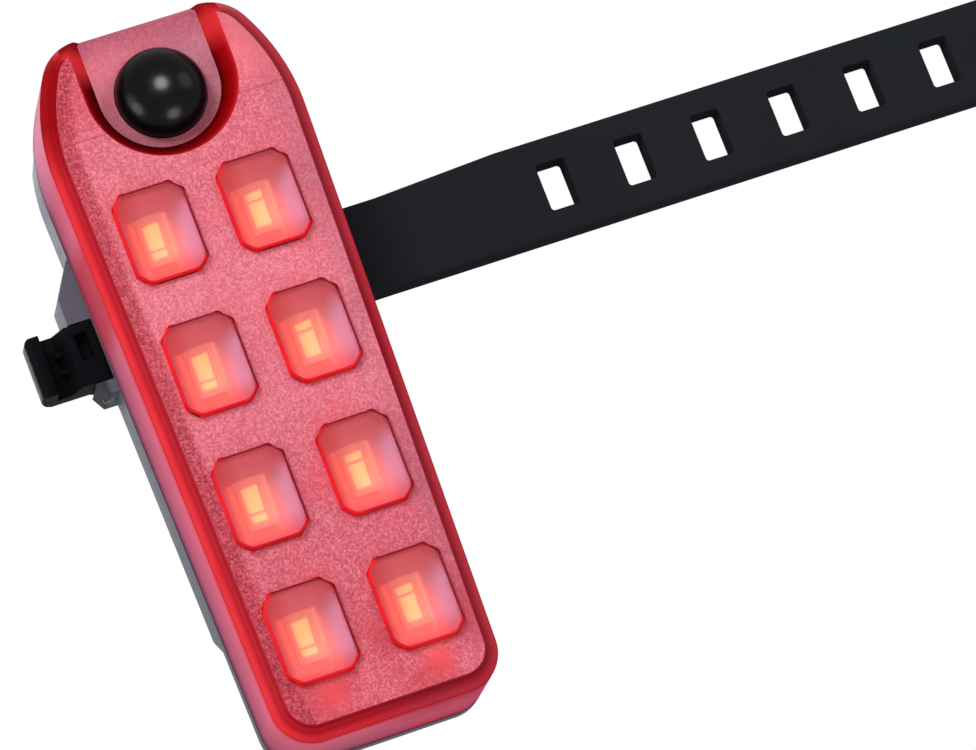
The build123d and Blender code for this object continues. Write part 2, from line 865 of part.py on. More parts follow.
# Steel pins through the lugs
def make_pin(side, front):
    """A plain pin pressed up through one pair of lugs."""
    with BuildPart() as pin:
        with BuildSketch(Plane.XY.offset(lug_bottom_height)):
            with Locations((side, -front)):
                Circle(pin_radius)
        extrude(amount=pin_length - seat_gap)
    return pin


finish(make_pin(-hook_pin_side, hook_pin_front), "hook_pin")
finish(make_pin(strap_pin_side, strap_pin_front), "strap_pin")

# Rubber strap: an eye on its pin, then a ladder of holes
last_hole = first_hole + (strap_holes - 1) * hole_pitch
strap_length = last_hole + strap_end_margin
strap_back = strap_pin_front - strap_thickness / 2

with BuildPart() as rubber_strap:
    with BuildSketch(level(strap_back)) as strap_sketch:
        with Locations((strap_pin_side + strap_length / 2, 0)):
            Rectangle(strap_length, strap_width)
        fillet(strap_sketch.vertices().group_by(Axis.X)[-1], strap_end_radius)
    extrude(amount=strap_thickness)
    band_edges = rubber_strap.edges().filter_by(Axis.X)
    fillet(band_edges, strap_rounding)
    with BuildSketch(Plane.XY.offset(-half_strap)):
        with Locations((strap_pin_side, -strap_pin_front)):
            Circle(strap_thickness / 2)
    extrude(amount=strap_width)
    with BuildSketch(Plane.XY.offset(-half_strap)):
        with Locations((strap_pin_side, -strap_pin_front)):
            Circle(pin_radius + strap_bore_gap)
    extrude(amount=strap_width, mode=Mode.SUBTRACT)
    with BuildSketch(level(strap_back)) as hole_sketch:
        with Locations((strap_pin_side + (first_hole + last_hole) / 2, 0)):
            with GridLocations(hole_pitch, 0, strap_holes, 1):
                Rectangle(hole_width, hole_length)
        fillet(hole_sketch.vertices(), hole_rounding)
    extrude(amount=strap_thickness, mode=Mode.SUBTRACT)
finish(rubber_strap, "rubber_strap")
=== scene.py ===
# %% [markdown]
# # A rear light for a bicycle
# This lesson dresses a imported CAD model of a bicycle's rear light: a red lens with eight clear windows, a
# black button, a dark battery housing with a hook on one side, and a rubber strap with a ladder of holes.
# Everything here is made around them, in metres, with X towards the strap, Z up the seat post and the light
# shining towards -Y.

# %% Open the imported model
from math import cos, radians, sin

import bmesh
import bpy
from mathutils import Matrix, Vector
from mathutils.geometry import convex_hull_2d


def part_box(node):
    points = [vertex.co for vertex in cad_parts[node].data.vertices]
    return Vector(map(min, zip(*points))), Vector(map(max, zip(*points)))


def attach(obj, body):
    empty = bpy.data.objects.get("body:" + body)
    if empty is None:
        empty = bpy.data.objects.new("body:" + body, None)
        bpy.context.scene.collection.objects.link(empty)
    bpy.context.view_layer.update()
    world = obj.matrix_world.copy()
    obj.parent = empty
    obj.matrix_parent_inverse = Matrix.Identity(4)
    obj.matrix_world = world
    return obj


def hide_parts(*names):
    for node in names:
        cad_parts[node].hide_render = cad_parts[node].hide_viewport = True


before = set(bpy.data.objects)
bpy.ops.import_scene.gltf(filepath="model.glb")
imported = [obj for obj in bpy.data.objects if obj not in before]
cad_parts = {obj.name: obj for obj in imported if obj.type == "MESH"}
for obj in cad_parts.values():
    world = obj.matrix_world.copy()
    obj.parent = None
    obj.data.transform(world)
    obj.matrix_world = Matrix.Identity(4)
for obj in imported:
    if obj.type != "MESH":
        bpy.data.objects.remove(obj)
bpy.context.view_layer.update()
mm = 0.001
scene = bpy.context.scene
scene.view_settings.view_transform = "Standard"

# %% [markdown]
# ## Sizes read from the CAD pieces
# A window, a light or a bevel is drawn where the CAD has it. Reading the boxes of the nodes keeps the scene
# right when the part is packed again, so only the sizes that no box can tell are written here.

# %% Sizes of the lamp
lens_low, lens_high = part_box("front_lens")
window_front = -lens_low[1]
window_rise = 0.7 * mm
face_front = window_front - window_rise
lens_rear = -lens_high[1]
lights = [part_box(f"led_{number}") for number in range(1, 9)]
light_centres = [(low + high) / 2 for low, high in lights]
light_front = -min(low[1] for low, high in lights)
light_rise = 0.45 * mm
column_side = max(centre[0] for centre in light_centres)
rows = sorted({round(centre[2], 6) for centre in light_centres})
row_pitch = rows[1] - rows[0]
board_low, board_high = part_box("circuit_board")
board_front = -board_low[1]
window_half_width = 4.4 * mm
window_half_height = 5.65 * mm
window_chamfer = 1.4 * mm
corner_round = 0.6 * mm
bevel_width = 1.75 * mm
recess_depth = 2.25 * mm
recess_floor = face_front - recess_depth
recess_low, recess_half = 12.5 * mm, 9.7 * mm
recess_mouth, mouth_half = 28.0 * mm, 7.0 * mm
lens_wall = 1.2 * mm
print("lens from", round(lens_rear / mm, 2), "to", round(window_front / mm, 2), "mm ahead of the post's axis")


# %% [markdown]
# ## Small helpers
# Colours are easier to judge as the hexadecimal values of a photograph, but the shader works in linear
# light, so one helper converts them. The others add a node, fill its inputs, or make a ramp, a mix or a
# sum. The trees could be drawn by hand in the shader editor, but short functions can be read and changed.

# %% Colours and nodes
def colour(code):
    """The linear colour of a hexadecimal one."""
    parts = [int(code[start:start + 2], 16) / 255 for start in (1, 3, 5)]
    linear = [part / 12.92 if part <= 0.04045 else ((part + 0.055) / 1.055) ** 2.4 for part in parts]
    return (*linear, 1.0)


def fill(tree, node, inputs):
    """Fills a node's inputs with values, colour codes or other nodes' outputs."""
    for key, value in dict(inputs).items():
        if isinstance(value, bpy.types.NodeSocket):
            tree.links.new(value, node.inputs[key])
        else:
            node.inputs[key].default_value = colour(value) if isinstance(value, str) else value


def put(tree, kind, inputs=(), **settings):
    """Adds a node, sets its properties and fills its inputs."""
    node = tree.nodes.new("ShaderNode" + kind)
    for name, value in settings.items():
        setattr(node, name, value)
    fill(tree, node, inputs)
    return node


print("a mid grey of #808080 is", round(colour("#808080")[0], 3), "in linear light")


# %% Ramps, mixes, sums and relief
def ramp(tree, factor, stops, interpolation="LINEAR"):
    """A colour ramp fed by a value. Stops are (position, colour code) pairs, where a number is a grey."""
    node = put(tree, "ValToRGB", {"Fac": factor})
    node.color_ramp.interpolation = interpolation
    elements = node.color_ramp.elements
    while len(elements) < len(stops):
        elements.new(0.5)
    for element, (where, tint) in zip(elements, stops):
        element.position = where
        element.color = (tint, tint, tint, 1.0) if isinstance(tint, float) else colour(tint)
    return node.outputs["Color"]


def mixed(tree, factor, first, second):
    """Two colours mixed by a factor. Each may be a colour code or another node's output."""
    return put(tree, "Mix", {0: factor, 6: first, 7: second}, data_type="RGBA").outputs[2]


def maths(tree, operation, first, second=0.0, clamp=False):
    """One sum on two values or outputs."""
    return put(tree, "Math", {0: first, 1: second}, operation=operation, use_clamp=clamp).outputs[0]


def times(tree, first, second):
    """Two values multiplied."""
    return maths(tree, "MULTIPLY", first, second)


def between(tree, value, start, end, low=0.0, high=1.0):
    """A value carried over from one span to another, and held at its ends."""
    inputs = {"Value": value, "From Min": start, "From Max": end, "To Min": low, "To Max": high}
    return put(tree, "MapRange", inputs).outputs["Result"]


def axes(tree, point):
    """The X, Y and Z of a point."""
    return put(tree, "SeparateXYZ", {0: point}).outputs


def bumps(tree, height, strength, depth):
    """The shading of an uneven surface from its height, over a depth in millimetres."""
    inputs = {"Height": height, "Strength": strength, "Distance": depth * mm}
    return put(tree, "Bump", inputs).outputs["Normal"]


print("helpers:", ", ".join(item.__name__ for item in (ramp, mixed, maths, times, between, axes, bumps)))

# %% [markdown]
# ## Effects that several finishes share
# Moulded plastic is never quite even: its surface has a fine texture from the mould, its colour drifts a
# little, and handling leaves faint marks. These are made once as node groups with named inputs, and each
# finish sets its own strength. The groups give out only colours and values, and the shader itself stays in
# the material.


# %% Starting a group
def group(name, inputs, outputs):
    """An empty shader group with named sockets. Returns the tree, its input node and its output node."""
    tree = bpy.data.node_groups.new(name, "ShaderNodeTree")
    for title, kind, value in inputs:
        socket = tree.interface.new_socket(name=title, in_out="INPUT", socket_type="NodeSocket" + kind)
        socket.default_value = value
    for title, kind in outputs:
        tree.interface.new_socket(name=title, in_out="OUTPUT", socket_type="NodeSocket" + kind)
    return tree, tree.nodes.new("NodeGroupInput"), tree.nodes.new("NodeGroupOutput")


def place(tree):
    """The point on the piece, in its own coordinates."""
    return put(tree, "TexCoord").outputs["Object"]


def noise(tree, vector, scale, detail=2.0, roughness=0.5):
    """A grey noise at a scale given in cells per metre."""
    inputs = {"Vector": vector, "Scale": scale, "Detail": detail, "Roughness": roughness}
    return put(tree, "TexNoise", inputs).outputs["Fac"]


print("noise is laid in each piece's own coordinates, in cells per metre")


# %% Group of a moulded surface
def make_surface_group():
    """Colour drift, fine grain, and faint marks from handling."""
    inputs = [
        ("Color", "Color", (0.5, 0.5, 0.5, 1.0)),
        ("Drift", "Float", 0.1),
        ("Grain Scale", "Float", 3000.0),
        ("Grain", "Float", 0.1),
        ("Roughness", "Float", 0.4),
        ("Marks", "Float", 0.1),
    ]
    outputs = [("Color", "Color"), ("Roughness", "Float"), ("Height", "Float")]
    tree, given, made = group("Moulded surface", inputs, outputs)
    point = place(tree)
    drift = noise(tree, point, 90.0, 3.0)
    swing = times(tree, maths(tree, "SUBTRACT", drift, 0.5), given.outputs["Drift"])
    grain = noise(tree, point, given.outputs["Grain Scale"])
    fine = times(tree, maths(tree, "SUBTRACT", grain, 0.5), given.outputs["Grain"])
    value = maths(tree, "ADD", maths(tree, "ADD", swing, fine), 1.0)
    tinted = put(tree, "HueSaturation", {"Color": given.outputs["Color"], "Value": value}).outputs["Color"]
    marks = noise(tree, point, 420.0, 6.0, 0.7)
    worn = ramp(tree, marks, [(0.52, 0.0), (0.74, 1.0)])
    scuffs = times(tree, worn, given.outputs["Marks"])
    rough = maths(tree, "ADD", given.outputs["Roughness"], scuffs)
    fill(tree, made, {"Color": tinted, "Roughness": rough, "Height": grain})
    return tree


surface_group = make_surface_group()
print("group:", surface_group.name)

# %% [markdown]
# ## Worn and highlit edges
# Hands and the post rub the edges of a moulding first, and leave them a shade off its colour, and a lighter
# edge colour also paints a highlight where the edges catch the light. They could be painted on a texture, but
# Pointiness already knows where a mesh is sharp, so the mask is made from it.


# %% Group of a worn and highlit edge
def make_edge_group():
    """A mask of the sharp edges of a piece, from its geometry's pointiness."""
    tree, given, made = group("Worn and highlit edge", [("Reach", "Float", 0.03)], [("Mask", "Float")])
    pointy = put(tree, "NewGeometry").outputs["Pointiness"]
    above = maths(tree, "SUBTRACT", pointy, 0.5)
    fill(tree, made, {"Mask": maths(tree, "DIVIDE", above, given.outputs["Reach"], clamp=True)})
    return tree


edge_group = make_edge_group()
print("group:", edge_group.name)


# %% [markdown]
# ## A plain recipe for a finish
# Most of the pieces differ only in colour, gloss and grain, so one function makes their materials from a
# few values. The red pieces and the cells get materials of their own further on.

# %% Recipe for a plain finish
def start_material(name):
    """An empty material with a Principled shader wired to its output."""
    material = bpy.data.materials.new(name)
    material.use_nodes = True
    tree = material.node_tree
    tree.nodes.clear()
    shader = put(tree, "BsdfPrincipled")
    output = put(tree, "OutputMaterial", {"Surface": shader.outputs["BSDF"]})
    return material, tree, shader, output


def plain_finish(name, code, rough, specular=0.5, metallic=0.0, drift=0.1, grain=0.1, grain_scale=3000.0,
                 marks=0.1, bump=0.05, bump_depth=0.02, edge_wear_and_highlight_code=None, lug_shade_code=None):
    """A moulded, rubber or metal finish from a colour and its gloss. The lug under the hook can get a painted
    shade.
    """
    material, tree, shader, _ = start_material(name)
    values = {"Color": code, "Drift": drift, "Grain": grain, "Grain Scale": grain_scale,
              "Roughness": rough, "Marks": marks}
    surface = put(tree, "Group", values, node_tree=surface_group).outputs
    tint = surface["Color"]
    # the edge colour is partly wear and partly a painted highlight where sharp edges catch the light
    if edge_wear_and_highlight_code:
        edge = put(tree, "Group", {"Reach": 0.06}, node_tree=edge_group)
        tint = mixed(tree, edge.outputs["Mask"], tint, edge_wear_and_highlight_code)
    # painted shade: the lug beside and under the hook is darkened where the hook's shadow falls
    if lug_shade_code:
        parts = axes(tree, place(tree))
        beside = between(tree, parts["X"], -15.4 * mm, -16.0 * mm)
        under = between(tree, parts["Z"], -1.0 * mm, -4.0 * mm)
        tint = mixed(tree, times(tree, beside, under), tint, lug_shade_code)
    fill(tree, shader, {"Base Color": tint, "Roughness": surface["Roughness"], "Metallic": metallic,
                        "Specular IOR Level": specular,
                        "Normal": bumps(tree, surface["Height"], bump, bump_depth)})
    return material


print("a plain finish draws on", surface_group.name, "and", edge_group.name)

# %% [markdown]
# ## Finishes of the plain pieces
# The housing and saddle are dark grey plastic with a fine texture from the mould. The hook is a smoother
# black, the button glossy, and the strap is rubber with faint specks. Each colour was judged by laying a
# render over the photograph. They could be one variable each, but a dictionary is easier to look over.

# %% Finishes of the plain pieces
finishes = {
    # the housing gets a painted shade on its lug under the hook
    "housing": plain_finish("Dark grey housing plastic", "#5e5f69", 0.6, 0.03, drift=0.25, grain=0.25,
                            grain_scale=5000.0, bump=0.35, edge_wear_and_highlight_code="#5e5f6a", lug_shade_code="#3e3d46"),
    # the saddle's lighter edges are partly wear and partly a painted highlight
    "saddle": plain_finish("Dark grey saddle plastic", "#3a3c45", 0.55, 0.06, drift=0.25, grain=0.2,
                           grain_scale=5000.0, bump=0.35, edge_wear_and_highlight_code="#4c4f59"),
    "hook": plain_finish("Black hook plastic", "#0e0e12", 0.55, 0.02, drift=0.3, grain=0.2, bump=0.15),
    "strap": plain_finish("Black strap rubber", "#212327", 0.6, 0.0, drift=0.3, grain=0.3,
                          grain_scale=4200.0, marks=0.15, bump=0.3, bump_depth=0.03),
    "pad": plain_finish("Black pad rubber", "#16171a", 0.75, 0.12, drift=0.3, grain=0.3, bump=0.5),
    "button": plain_finish("Gloss black button rubber", "#030304", 0.22, 0.08, drift=0.2, marks=0.08),
    "seal": plain_finish("Dark seal rubber", "#35101f", 0.6, 0.1, bump=0.2),
    "steel": plain_finish("Zinc-plated steel", "#b5b6b8", 0.28, 0.5, metallic=1.0, drift=0.15, grain=0.1,
                          marks=0.25, bump=0.1),
    "dark pin": plain_finish("Blackened steel pin", "#26272a", 0.45, 0.3, metallic=1.0, drift=0.15, bump=0.1),
    "nickel": plain_finish("Nickel spring steel", "#c9c4b8", 0.22, 0.5, metallic=1.0, drift=0.12, marks=0.2,
                           bump=0.08),
    "chip": plain_finish("Black chip epoxy", "#18191b", 0.55, 0.3, grain=0.4, grain_scale=9000.0, bump=0.3),
    "ceramic": plain_finish("Brown chip ceramic", "#8a6a4a", 0.45, 0.4, grain=0.2, bump=0.15),
    "white": plain_finish("White switch plastic", "#dcdad2", 0.4, 0.5, bump=0.1),
}
print("plain finishes:", ", ".join(finishes))

# %% [markdown]
# ## The red lens
# The real lens is one clear red moulding: polished on its bevel, walls and windows, and etched with a fine
# frost on the face between them. A frosted shell lets light through but hides what is behind, so it is
# drawn as a red body with a pale bloom and a fine speckle. Only the eight windows are truly clear, and they
# are cut out of the shell and made as solid panes of red glass, so the wells and lights behind them show
# with real depth.


# %% Outline of the flat face
lens_points = [vert.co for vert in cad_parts["front_lens"].data.vertices]
flat_points = [(point.x, point.z) for point in lens_points if abs(point.y + face_front) < 0.02 * mm]
outline = [flat_points[index] for index in convex_hull_2d(flat_points)]
face_low, face_high = min(z for x, z in outline), max(z for x, z in outline)
widest = 20.0 * mm


def half_width(height):
    """How far the flat face reaches sideways at one height."""
    reach = 0.0
    for (x1, z1), (x2, z2) in zip(outline, outline[1:] + outline[:1]):
        if z1 != z2 and min(z1, z2) <= height <= max(z1, z2):
            reach = max(reach, abs(x1 + (x2 - x1) * (height - z1) / (z2 - z1)))
    return reach


def edge_margins(tree, parts):
    """How far a point of the face is from the face's left and right edges."""
    share = between(tree, parts["Z"], face_low, face_high)
    heights = [0.01, 0.05, 0.12, 0.25, 0.4, 0.55, 0.7, 0.8, 0.88, 0.94, 0.97, 0.99]
    stops = [(at, half_width(face_low + at * (face_high - face_low)) / widest) for at in heights]
    edge = times(tree, ramp(tree, share, stops), widest)
    return maths(tree, "ADD", edge, parts["X"]), maths(tree, "SUBTRACT", edge, parts["X"])


print("flat face from", round(face_low / mm, 1), "to", round(face_high / mm, 1), "mm, half",
      round(half_width(0.0) / mm, 2), "mm wide at the middle")

# %% [markdown]
# ## Light behind the frost
# The face looks redder and brighter round each light. True light through a frosted shell would be slow and
# grainy to render, so the distance to the nearest light, as seen from the front, tints the face instead.


# %% Nearness to the lights
def near_lights(tree, point, inner, outer):
    """One at a light's middle and none past a distance from it, as the picture sees them."""
    flat = put(tree, "VectorMath", {0: point, 1: (1.0, 0.0, 1.0)}, operation="MULTIPLY").outputs[0]
    nearness = 0.0
    for centre in light_centres:
        spot = (centre[0], 0.0, centre[2])
        away = put(tree, "VectorMath", {0: flat, 1: spot}, operation="DISTANCE").outputs["Value"]
        nearness = maths(tree, "MAXIMUM", nearness, between(tree, away, inner, outer, 1.0, 0.0))
    return nearness, flat


print("lights behind the face:", len(light_centres), "a row's height:", round(row_pitch / mm, 2), "mm")

# %% [markdown]
# ## The frosted face
# Seen close, the etched face is a speckle of pale and dark points over a red that drifts from salmon to
# mauve. A picture could be wrapped on it, but noises and ramps need no file and stay sharp at any size.

# %% Colour of the frost
speckle_scale = 3600.0


def frost_colour(tree, point, height):
    """Salmon to mauve along the lamp, with clouds and a fine speckle. Gives back the two noises as well."""
    along = between(tree, height, -56.0 * mm, 30.0 * mm)
    body = ramp(tree, along, [(0.0, "#ea6674"), (0.14, "#c85464"), (0.3, "#d05e70"), (0.45, "#e27888"),
                              (0.62, "#e87e8e"), (0.84, "#dc7080"), (0.92, "#d4606e"), (1.0, "#c84c58")])
    clouds = ramp(tree, noise(tree, point, 70.0, 4.0, 0.6), [(0.35, 0.0), (0.7, 1.0)])
    cloudy = mixed(tree, times(tree, clouds, 0.35), body, "#cc4858")
    specks = noise(tree, point, speckle_scale, 3.0, 0.8)
    dust = ramp(tree, specks, [(0.36, "#6c2840"), (0.5, "#d06070"), (0.64, "#f8a8b2")])
    return mixed(tree, 0.43, cloudy, dust), clouds, specks


print("a speck of the frost is about", round(1 / speckle_scale / mm, 2), "mm across")


# %% Finish of the frosted face
def frosted_face():
    """Frosted red, brighter where a light sits behind, with a painted spill of light below the lowest
    windows, and redder at the ends and the left edge.
    """
    material, tree, shader, _ = start_material("Frosted red face")
    point = place(tree)
    parts = axes(tree, point)
    height = parts["Z"]
    speckled, clouds, specks = frost_colour(tree, point, height)
    glow, flat = near_lights(tree, point, 5.5 * mm, 10.5 * mm)
    patches = ramp(tree, noise(tree, point, 130.0, 2.0), [(0.45, 0.0), (0.7, 1.0)])
    patchy = times(tree, glow, patches)
    lit = mixed(tree, times(tree, patchy, 0.4), speckled, "#e8505c")
    # painted light: a bright red spill on the face below each of the lowest windows
    for side in (-column_side, column_side):
        spill_at = (side, 0.0, rows[0] - light_rise - window_half_height - 1.9 * mm)
        away = put(tree, "VectorMath", {0: flat, 1: spill_at}, operation="DISTANCE").outputs["Value"]
        lit = mixed(tree, between(tree, away, 0.5 * mm, 2.4 * mm, 0.85, 0.0), lit, "#ff6064")
    ends = maths(tree, "MAXIMUM", between(tree, height, 17.0 * mm, 24.0 * mm),
                 between(tree, height, -40.0 * mm, -46.0 * mm))
    flames = ramp(tree, noise(tree, point, 150.0, 3.0), [(0.42, 0.0), (0.62, 1.0)])
    burning = times(tree, times(tree, ends, flames), 0.5)
    reddened = mixed(tree, burning, lit, "#c02c3a")
    arm = times(tree, between(tree, parts["X"], 7.5 * mm, 10.0 * mm),
                between(tree, height, 18.0 * mm, 23.0 * mm, 0.0, 0.6))
    reddened = mixed(tree, arm, reddened, "#fa7e86")
    margin, far_margin = edge_margins(tree, parts)
    mauve = times(tree, between(tree, far_margin, 0.6 * mm, 3.2 * mm, 1.0, 0.0), clouds)
    reddened = mixed(tree, times(tree, mauve, 0.55), reddened, "#a45a70")
    grainy = ramp(tree, specks, [(0.36, "#7a1c2c"), (0.52, "#b83a4a"), (0.66, "#d86470")])
    edged_red = mixed(tree, between(tree, margin, 1.3 * mm, 2.1 * mm, 0.85, 0.0), reddened, grainy)
    seam = maths(tree, "ABSOLUTE", maths(tree, "SUBTRACT", height, 18.5 * mm))
    lined = mixed(tree, between(tree, seam, 0.06 * mm, 0.18 * mm, 0.4, 0.0), edged_red, "#8a2838")
    fill(tree, shader, {"Base Color": lined, "Roughness": 0.45, "Specular IOR Level": 0.15,
                        "Normal": bumps(tree, specks, 0.2, 0.03)})
    return material


frosted = frosted_face()
print(frosted.name, "has", len(frosted.node_tree.nodes), "nodes")

# %% [markdown]
# ## Polished red plastic
# The bevel, the walls and the recess are polished. Real glass would mirror the white room at every shallow
# angle and take long to render, so the deep and bright bands of light and shade that thick plastic gathers
# are painted along its depth or height instead, its left and right sides painted as lit differently, and it
# mirrors next to nothing.


# %% Recipe for a polished red
def polished_red(name, left_stops, right_stops, low, high, rough=0.2, drift_code="#c03044", drift=0.25,
                 axis="Y", specular=0.02, grain=0.0, sides=(-4.0, 4.0),
                 top_light_and_shade_code=None, hook_shade_code=None, crown_glint_code=None):
    """A polished red with painted light and shade along its depth or height, its left and right sides painted
    as lit differently. A top-left corner can get a painted shade or highlight of a given colour, the wall
    beside the hook a painted shade of the hook, and the crown of the recess a painted glint."""
    material, tree, shader, _ = start_material(name)
    point = place(tree)
    parts = axes(tree, point)
    depth = between(tree, parts[axis], low, high)
    left = ramp(tree, depth, left_stops)
    right = ramp(tree, depth, right_stops)
    # painted light and shade: the left and right sides get different colours, as they are lit differently
    body = mixed(tree, between(tree, parts["X"], sides[0] * mm, sides[1] * mm), left, right)
    streaks = noise(tree, point, 160.0, 3.0, 0.6)
    soft = ramp(tree, streaks, [(0.4, 0.0), (0.75, 1.0)])
    tinted = mixed(tree, times(tree, soft, drift), body, drift_code)
    dust = noise(tree, point, speckle_scale, 3.0, 0.8)
    tinted = mixed(tree, grain, tinted, ramp(tree, dust, [(0.36, "#6c3044"), (0.66, "#f0a0ac")]))
    # painted light and shade at the top-left corner: a dark colour paints shade there, a pale one a highlight
    if top_light_and_shade_code:
        corner = times(tree, between(tree, parts["Z"], 14.0 * mm, 22.0 * mm),
                       between(tree, parts["X"], -9.0 * mm, -11.0 * mm))
        tinted = mixed(tree, times(tree, corner, 0.85), tinted, top_light_and_shade_code)
    # painted shade of the hook on the wall beside it
    if hook_shade_code:
        band = times(tree, between(tree, parts["Z"], -5.0 * mm, -2.0 * mm),
                     between(tree, parts["Z"], 9.0 * mm, 6.0 * mm))
        tinted = mixed(tree, times(tree, band, 0.6), tinted, hook_shade_code)
    # painted glint along the crown of the recess wall
    if crown_glint_code:
        crown = times(tree, between(tree, parts["Z"], 24.5 * mm, 27.0 * mm),
                      between(tree, parts["Z"], 30.0 * mm, 28.5 * mm, 0.2, 0.8))
        tinted = mixed(tree, crown, tinted, crown_glint_code)
    marks = noise(tree, point, 500.0, 5.0, 0.7)
    scuffed = ramp(tree, marks, [(0.55, rough), (0.8, rough + 0.15)])
    fill(tree, shader, {"Base Color": tinted, "Roughness": scuffed, "Specular IOR Level": specular,
                        "Normal": bumps(tree, streaks, 0.06, 0.1)})
    return material


print("the bevel is shaded over", round(bevel_width / mm, 2), "mm of depth")

# %% Finishes of the bevel, wall and recess
# the bevel gets a painted shade at its top-left corner
bevel_red = polished_red(
    "Polished red bevel",
    [(0.0, "#b42432"), (0.12, "#8c101c"), (0.3, "#b81c28"), (0.45, "#a81824"), (0.6, "#cc2430"),
     (0.82, "#de3038"), (1.0, "#bc2632")],
    [(0.0, "#a42c3a"), (0.14, "#84101c"), (0.4, "#9c2030"), (0.65, "#b42c3c"), (0.85, "#c4303c"),
     (1.0, "#982030")],
    -face_front, bevel_width - face_front, drift_code="#a81420", top_light_and_shade_code="#840306",
)
# the wall gets a painted highlight at its top-left corner and a painted shade beside the hook
wall_red = polished_red(
    "Polished red wall",
    [(0.0, "#d85c6e"), (0.15, "#da6a80"), (0.45, "#c4647c"), (0.75, "#ac5c74"), (0.92, "#8c445c"),
     (1.0, "#44202c")],
    [(0.0, "#c83848"), (0.12, "#c04860"), (0.55, "#cc5a70"), (0.85, "#c8485e"), (1.0, "#7c1c38")],
    bevel_width - face_front, -lens_rear, rough=0.35, specular=0.0, drift_code="#c4566c",
    top_light_and_shade_code="#d88ea8", hook_shade_code="#b42c38",
)
# the recess wall gets a painted glint on its crown
recess_wall_red = polished_red(
    "Polished red recess wall",
    [(0.0, "#b81c24"), (0.25, "#6c060a"), (0.7, "#480104"), (1.0, "#240103")],
    [(0.0, "#c81e26"), (0.25, "#980a0e"), (0.7, "#820608"), (1.0, "#3c0205")],
    -face_front, -recess_floor, drift_code="#a00c14", drift=0.2, specular=0.0, sides=(1.0, 8.0),
    crown_glint_code="#d42e34",
)
recess_floor_red = polished_red(
    "Satin red recess floor",
    [(0.0, "#a05c6a"), (0.3, "#c06c7a"), (0.5, "#e07c8c"), (0.72, "#e47688"), (0.86, "#bc5c74"),
     (0.93, "#a0465c"), (0.96, "#a46880"), (1.0, "#8c4458")],
    [(0.0, "#ac5a6a"), (0.6, "#c87a8c"), (0.85, "#b05468"), (0.93, "#a84e68"), (0.96, "#b07088"),
     (1.0, "#904c60")],
    16.0 * mm, 31.9 * mm, rough=0.45, drift_code="#c84c58", drift=0.4, axis="Z", grain=0.2,
)
inner_stops = [(0.0, "#a01828"), (1.0, "#a01828")]
inner_red = polished_red("Inner red", inner_stops, inner_stops, -face_front, -lens_rear, rough=0.3)
print("polished reds made for the bevel, wall, recess and inside")

# %% [markdown]
# ## Clear windows
# A window is thick clear plastic, and bends the view of the well behind it. A see-through sheet would do
# from the front, but a solid pane of glass is right from every side.


# %% Glass of the windows
def window_place(tree, point):
    """Where a point lies across and up its own window, and the side of the lamp as -1 or 1."""
    parts = axes(tree, point)
    side = maths(tree, "SIGN", parts["X"])
    across = maths(tree, "SUBTRACT", parts["X"], times(tree, side, column_side))
    above = maths(tree, "SUBTRACT", parts["Z"], rows[0] - light_rise)
    up = put(tree, "Math", {0: above, 1: row_pitch / 2, 2: -row_pitch / 2}, operation="WRAP").outputs[0]
    return across, up, side


def window_glass():
    """Clear red, with painted red light by the left and lower rims. Shadow rays pass as through film, to
    light the wells.
    """
    material, tree, shader, output = start_material("Clear red window")
    point = place(tree)
    across, up, _ = window_place(tree, point)
    # painted light: the glass is tinted a deeper red by its left and lower rims
    left = between(tree, across, 0.3 * mm - window_half_width, 3.4 * mm - window_half_width, 1.0, 0.0)
    low = between(tree, up, 0.3 * mm - window_half_height, 3.2 * mm - window_half_height, 1.0, 0.0)
    painted_rim_light = times(tree, maths(tree, "MAXIMUM", left, low), 0.9)
    waves = noise(tree, point, 240.0, 1.0)
    fill(tree, shader, {"Base Color": mixed(tree, painted_rim_light, "#ffe6e8", "#f25054"), "Roughness": 0.14,
                        "IOR": 1.49, "Transmission Weight": 1.0, "Normal": bumps(tree, waves, 0.08, 0.1)})
    film = put(tree, "BsdfTransparent", {"Color": "#fff0f0"})
    rays = put(tree, "LightPath").outputs["Is Shadow Ray"]
    choice = put(tree, "MixShader", {0: rays, 1: shader.outputs["BSDF"], 2: film.outputs["BSDF"]})
    fill(tree, output, {"Surface": choice.outputs["Shader"]})
    return material


glass = window_glass()
print("glass:", glass.name)

# %% Rims of the windows
# lit and shaded copies of one red: painted light for rim faces that look left or down, painted shade for the
# rest
lit_rim_stops, shade_stops = [(0.0, "#e42028"), (1.0, "#f02830")], [(0.0, "#8c1822"), (1.0, "#a02430")]
painted_lit_rim = polished_red("Painted lit red window rim", lit_rim_stops, lit_rim_stops, -window_front, -face_front,
                       drift_code="#b01c28", drift=0.8)
shaded_rim = polished_red("Painted shaded red window rim", shade_stops, shade_stops, -window_front, -face_front,
                          drift_code="#b03040", drift=0.2)
print("rims:", painted_lit_rim.name, "and", shaded_rim.name)

# %% [markdown]
# ## Cutting the lens
# The shell and its windows are one moulding, so a window has to fill its opening without a gap. The openings
# could be modelled edge by edge, but a boolean cut with a window's own outline still fits when the CAD
# changes. What is left gets its finishes by where each face lies and where it looks.


# %% A window's rounded block
def round_corner(before, corner, after, steps=4):
    """Points of a short curve that takes the place of a sharp corner."""
    start = corner + (before - corner).normalized() * corner_round
    end = corner + (after - corner).normalized() * corner_round
    shares = [step / steps for step in range(steps + 1)]
    return [start * (1 - t) ** 2 + corner * (2 * t * (1 - t)) + end * t ** 2 for t in shares]


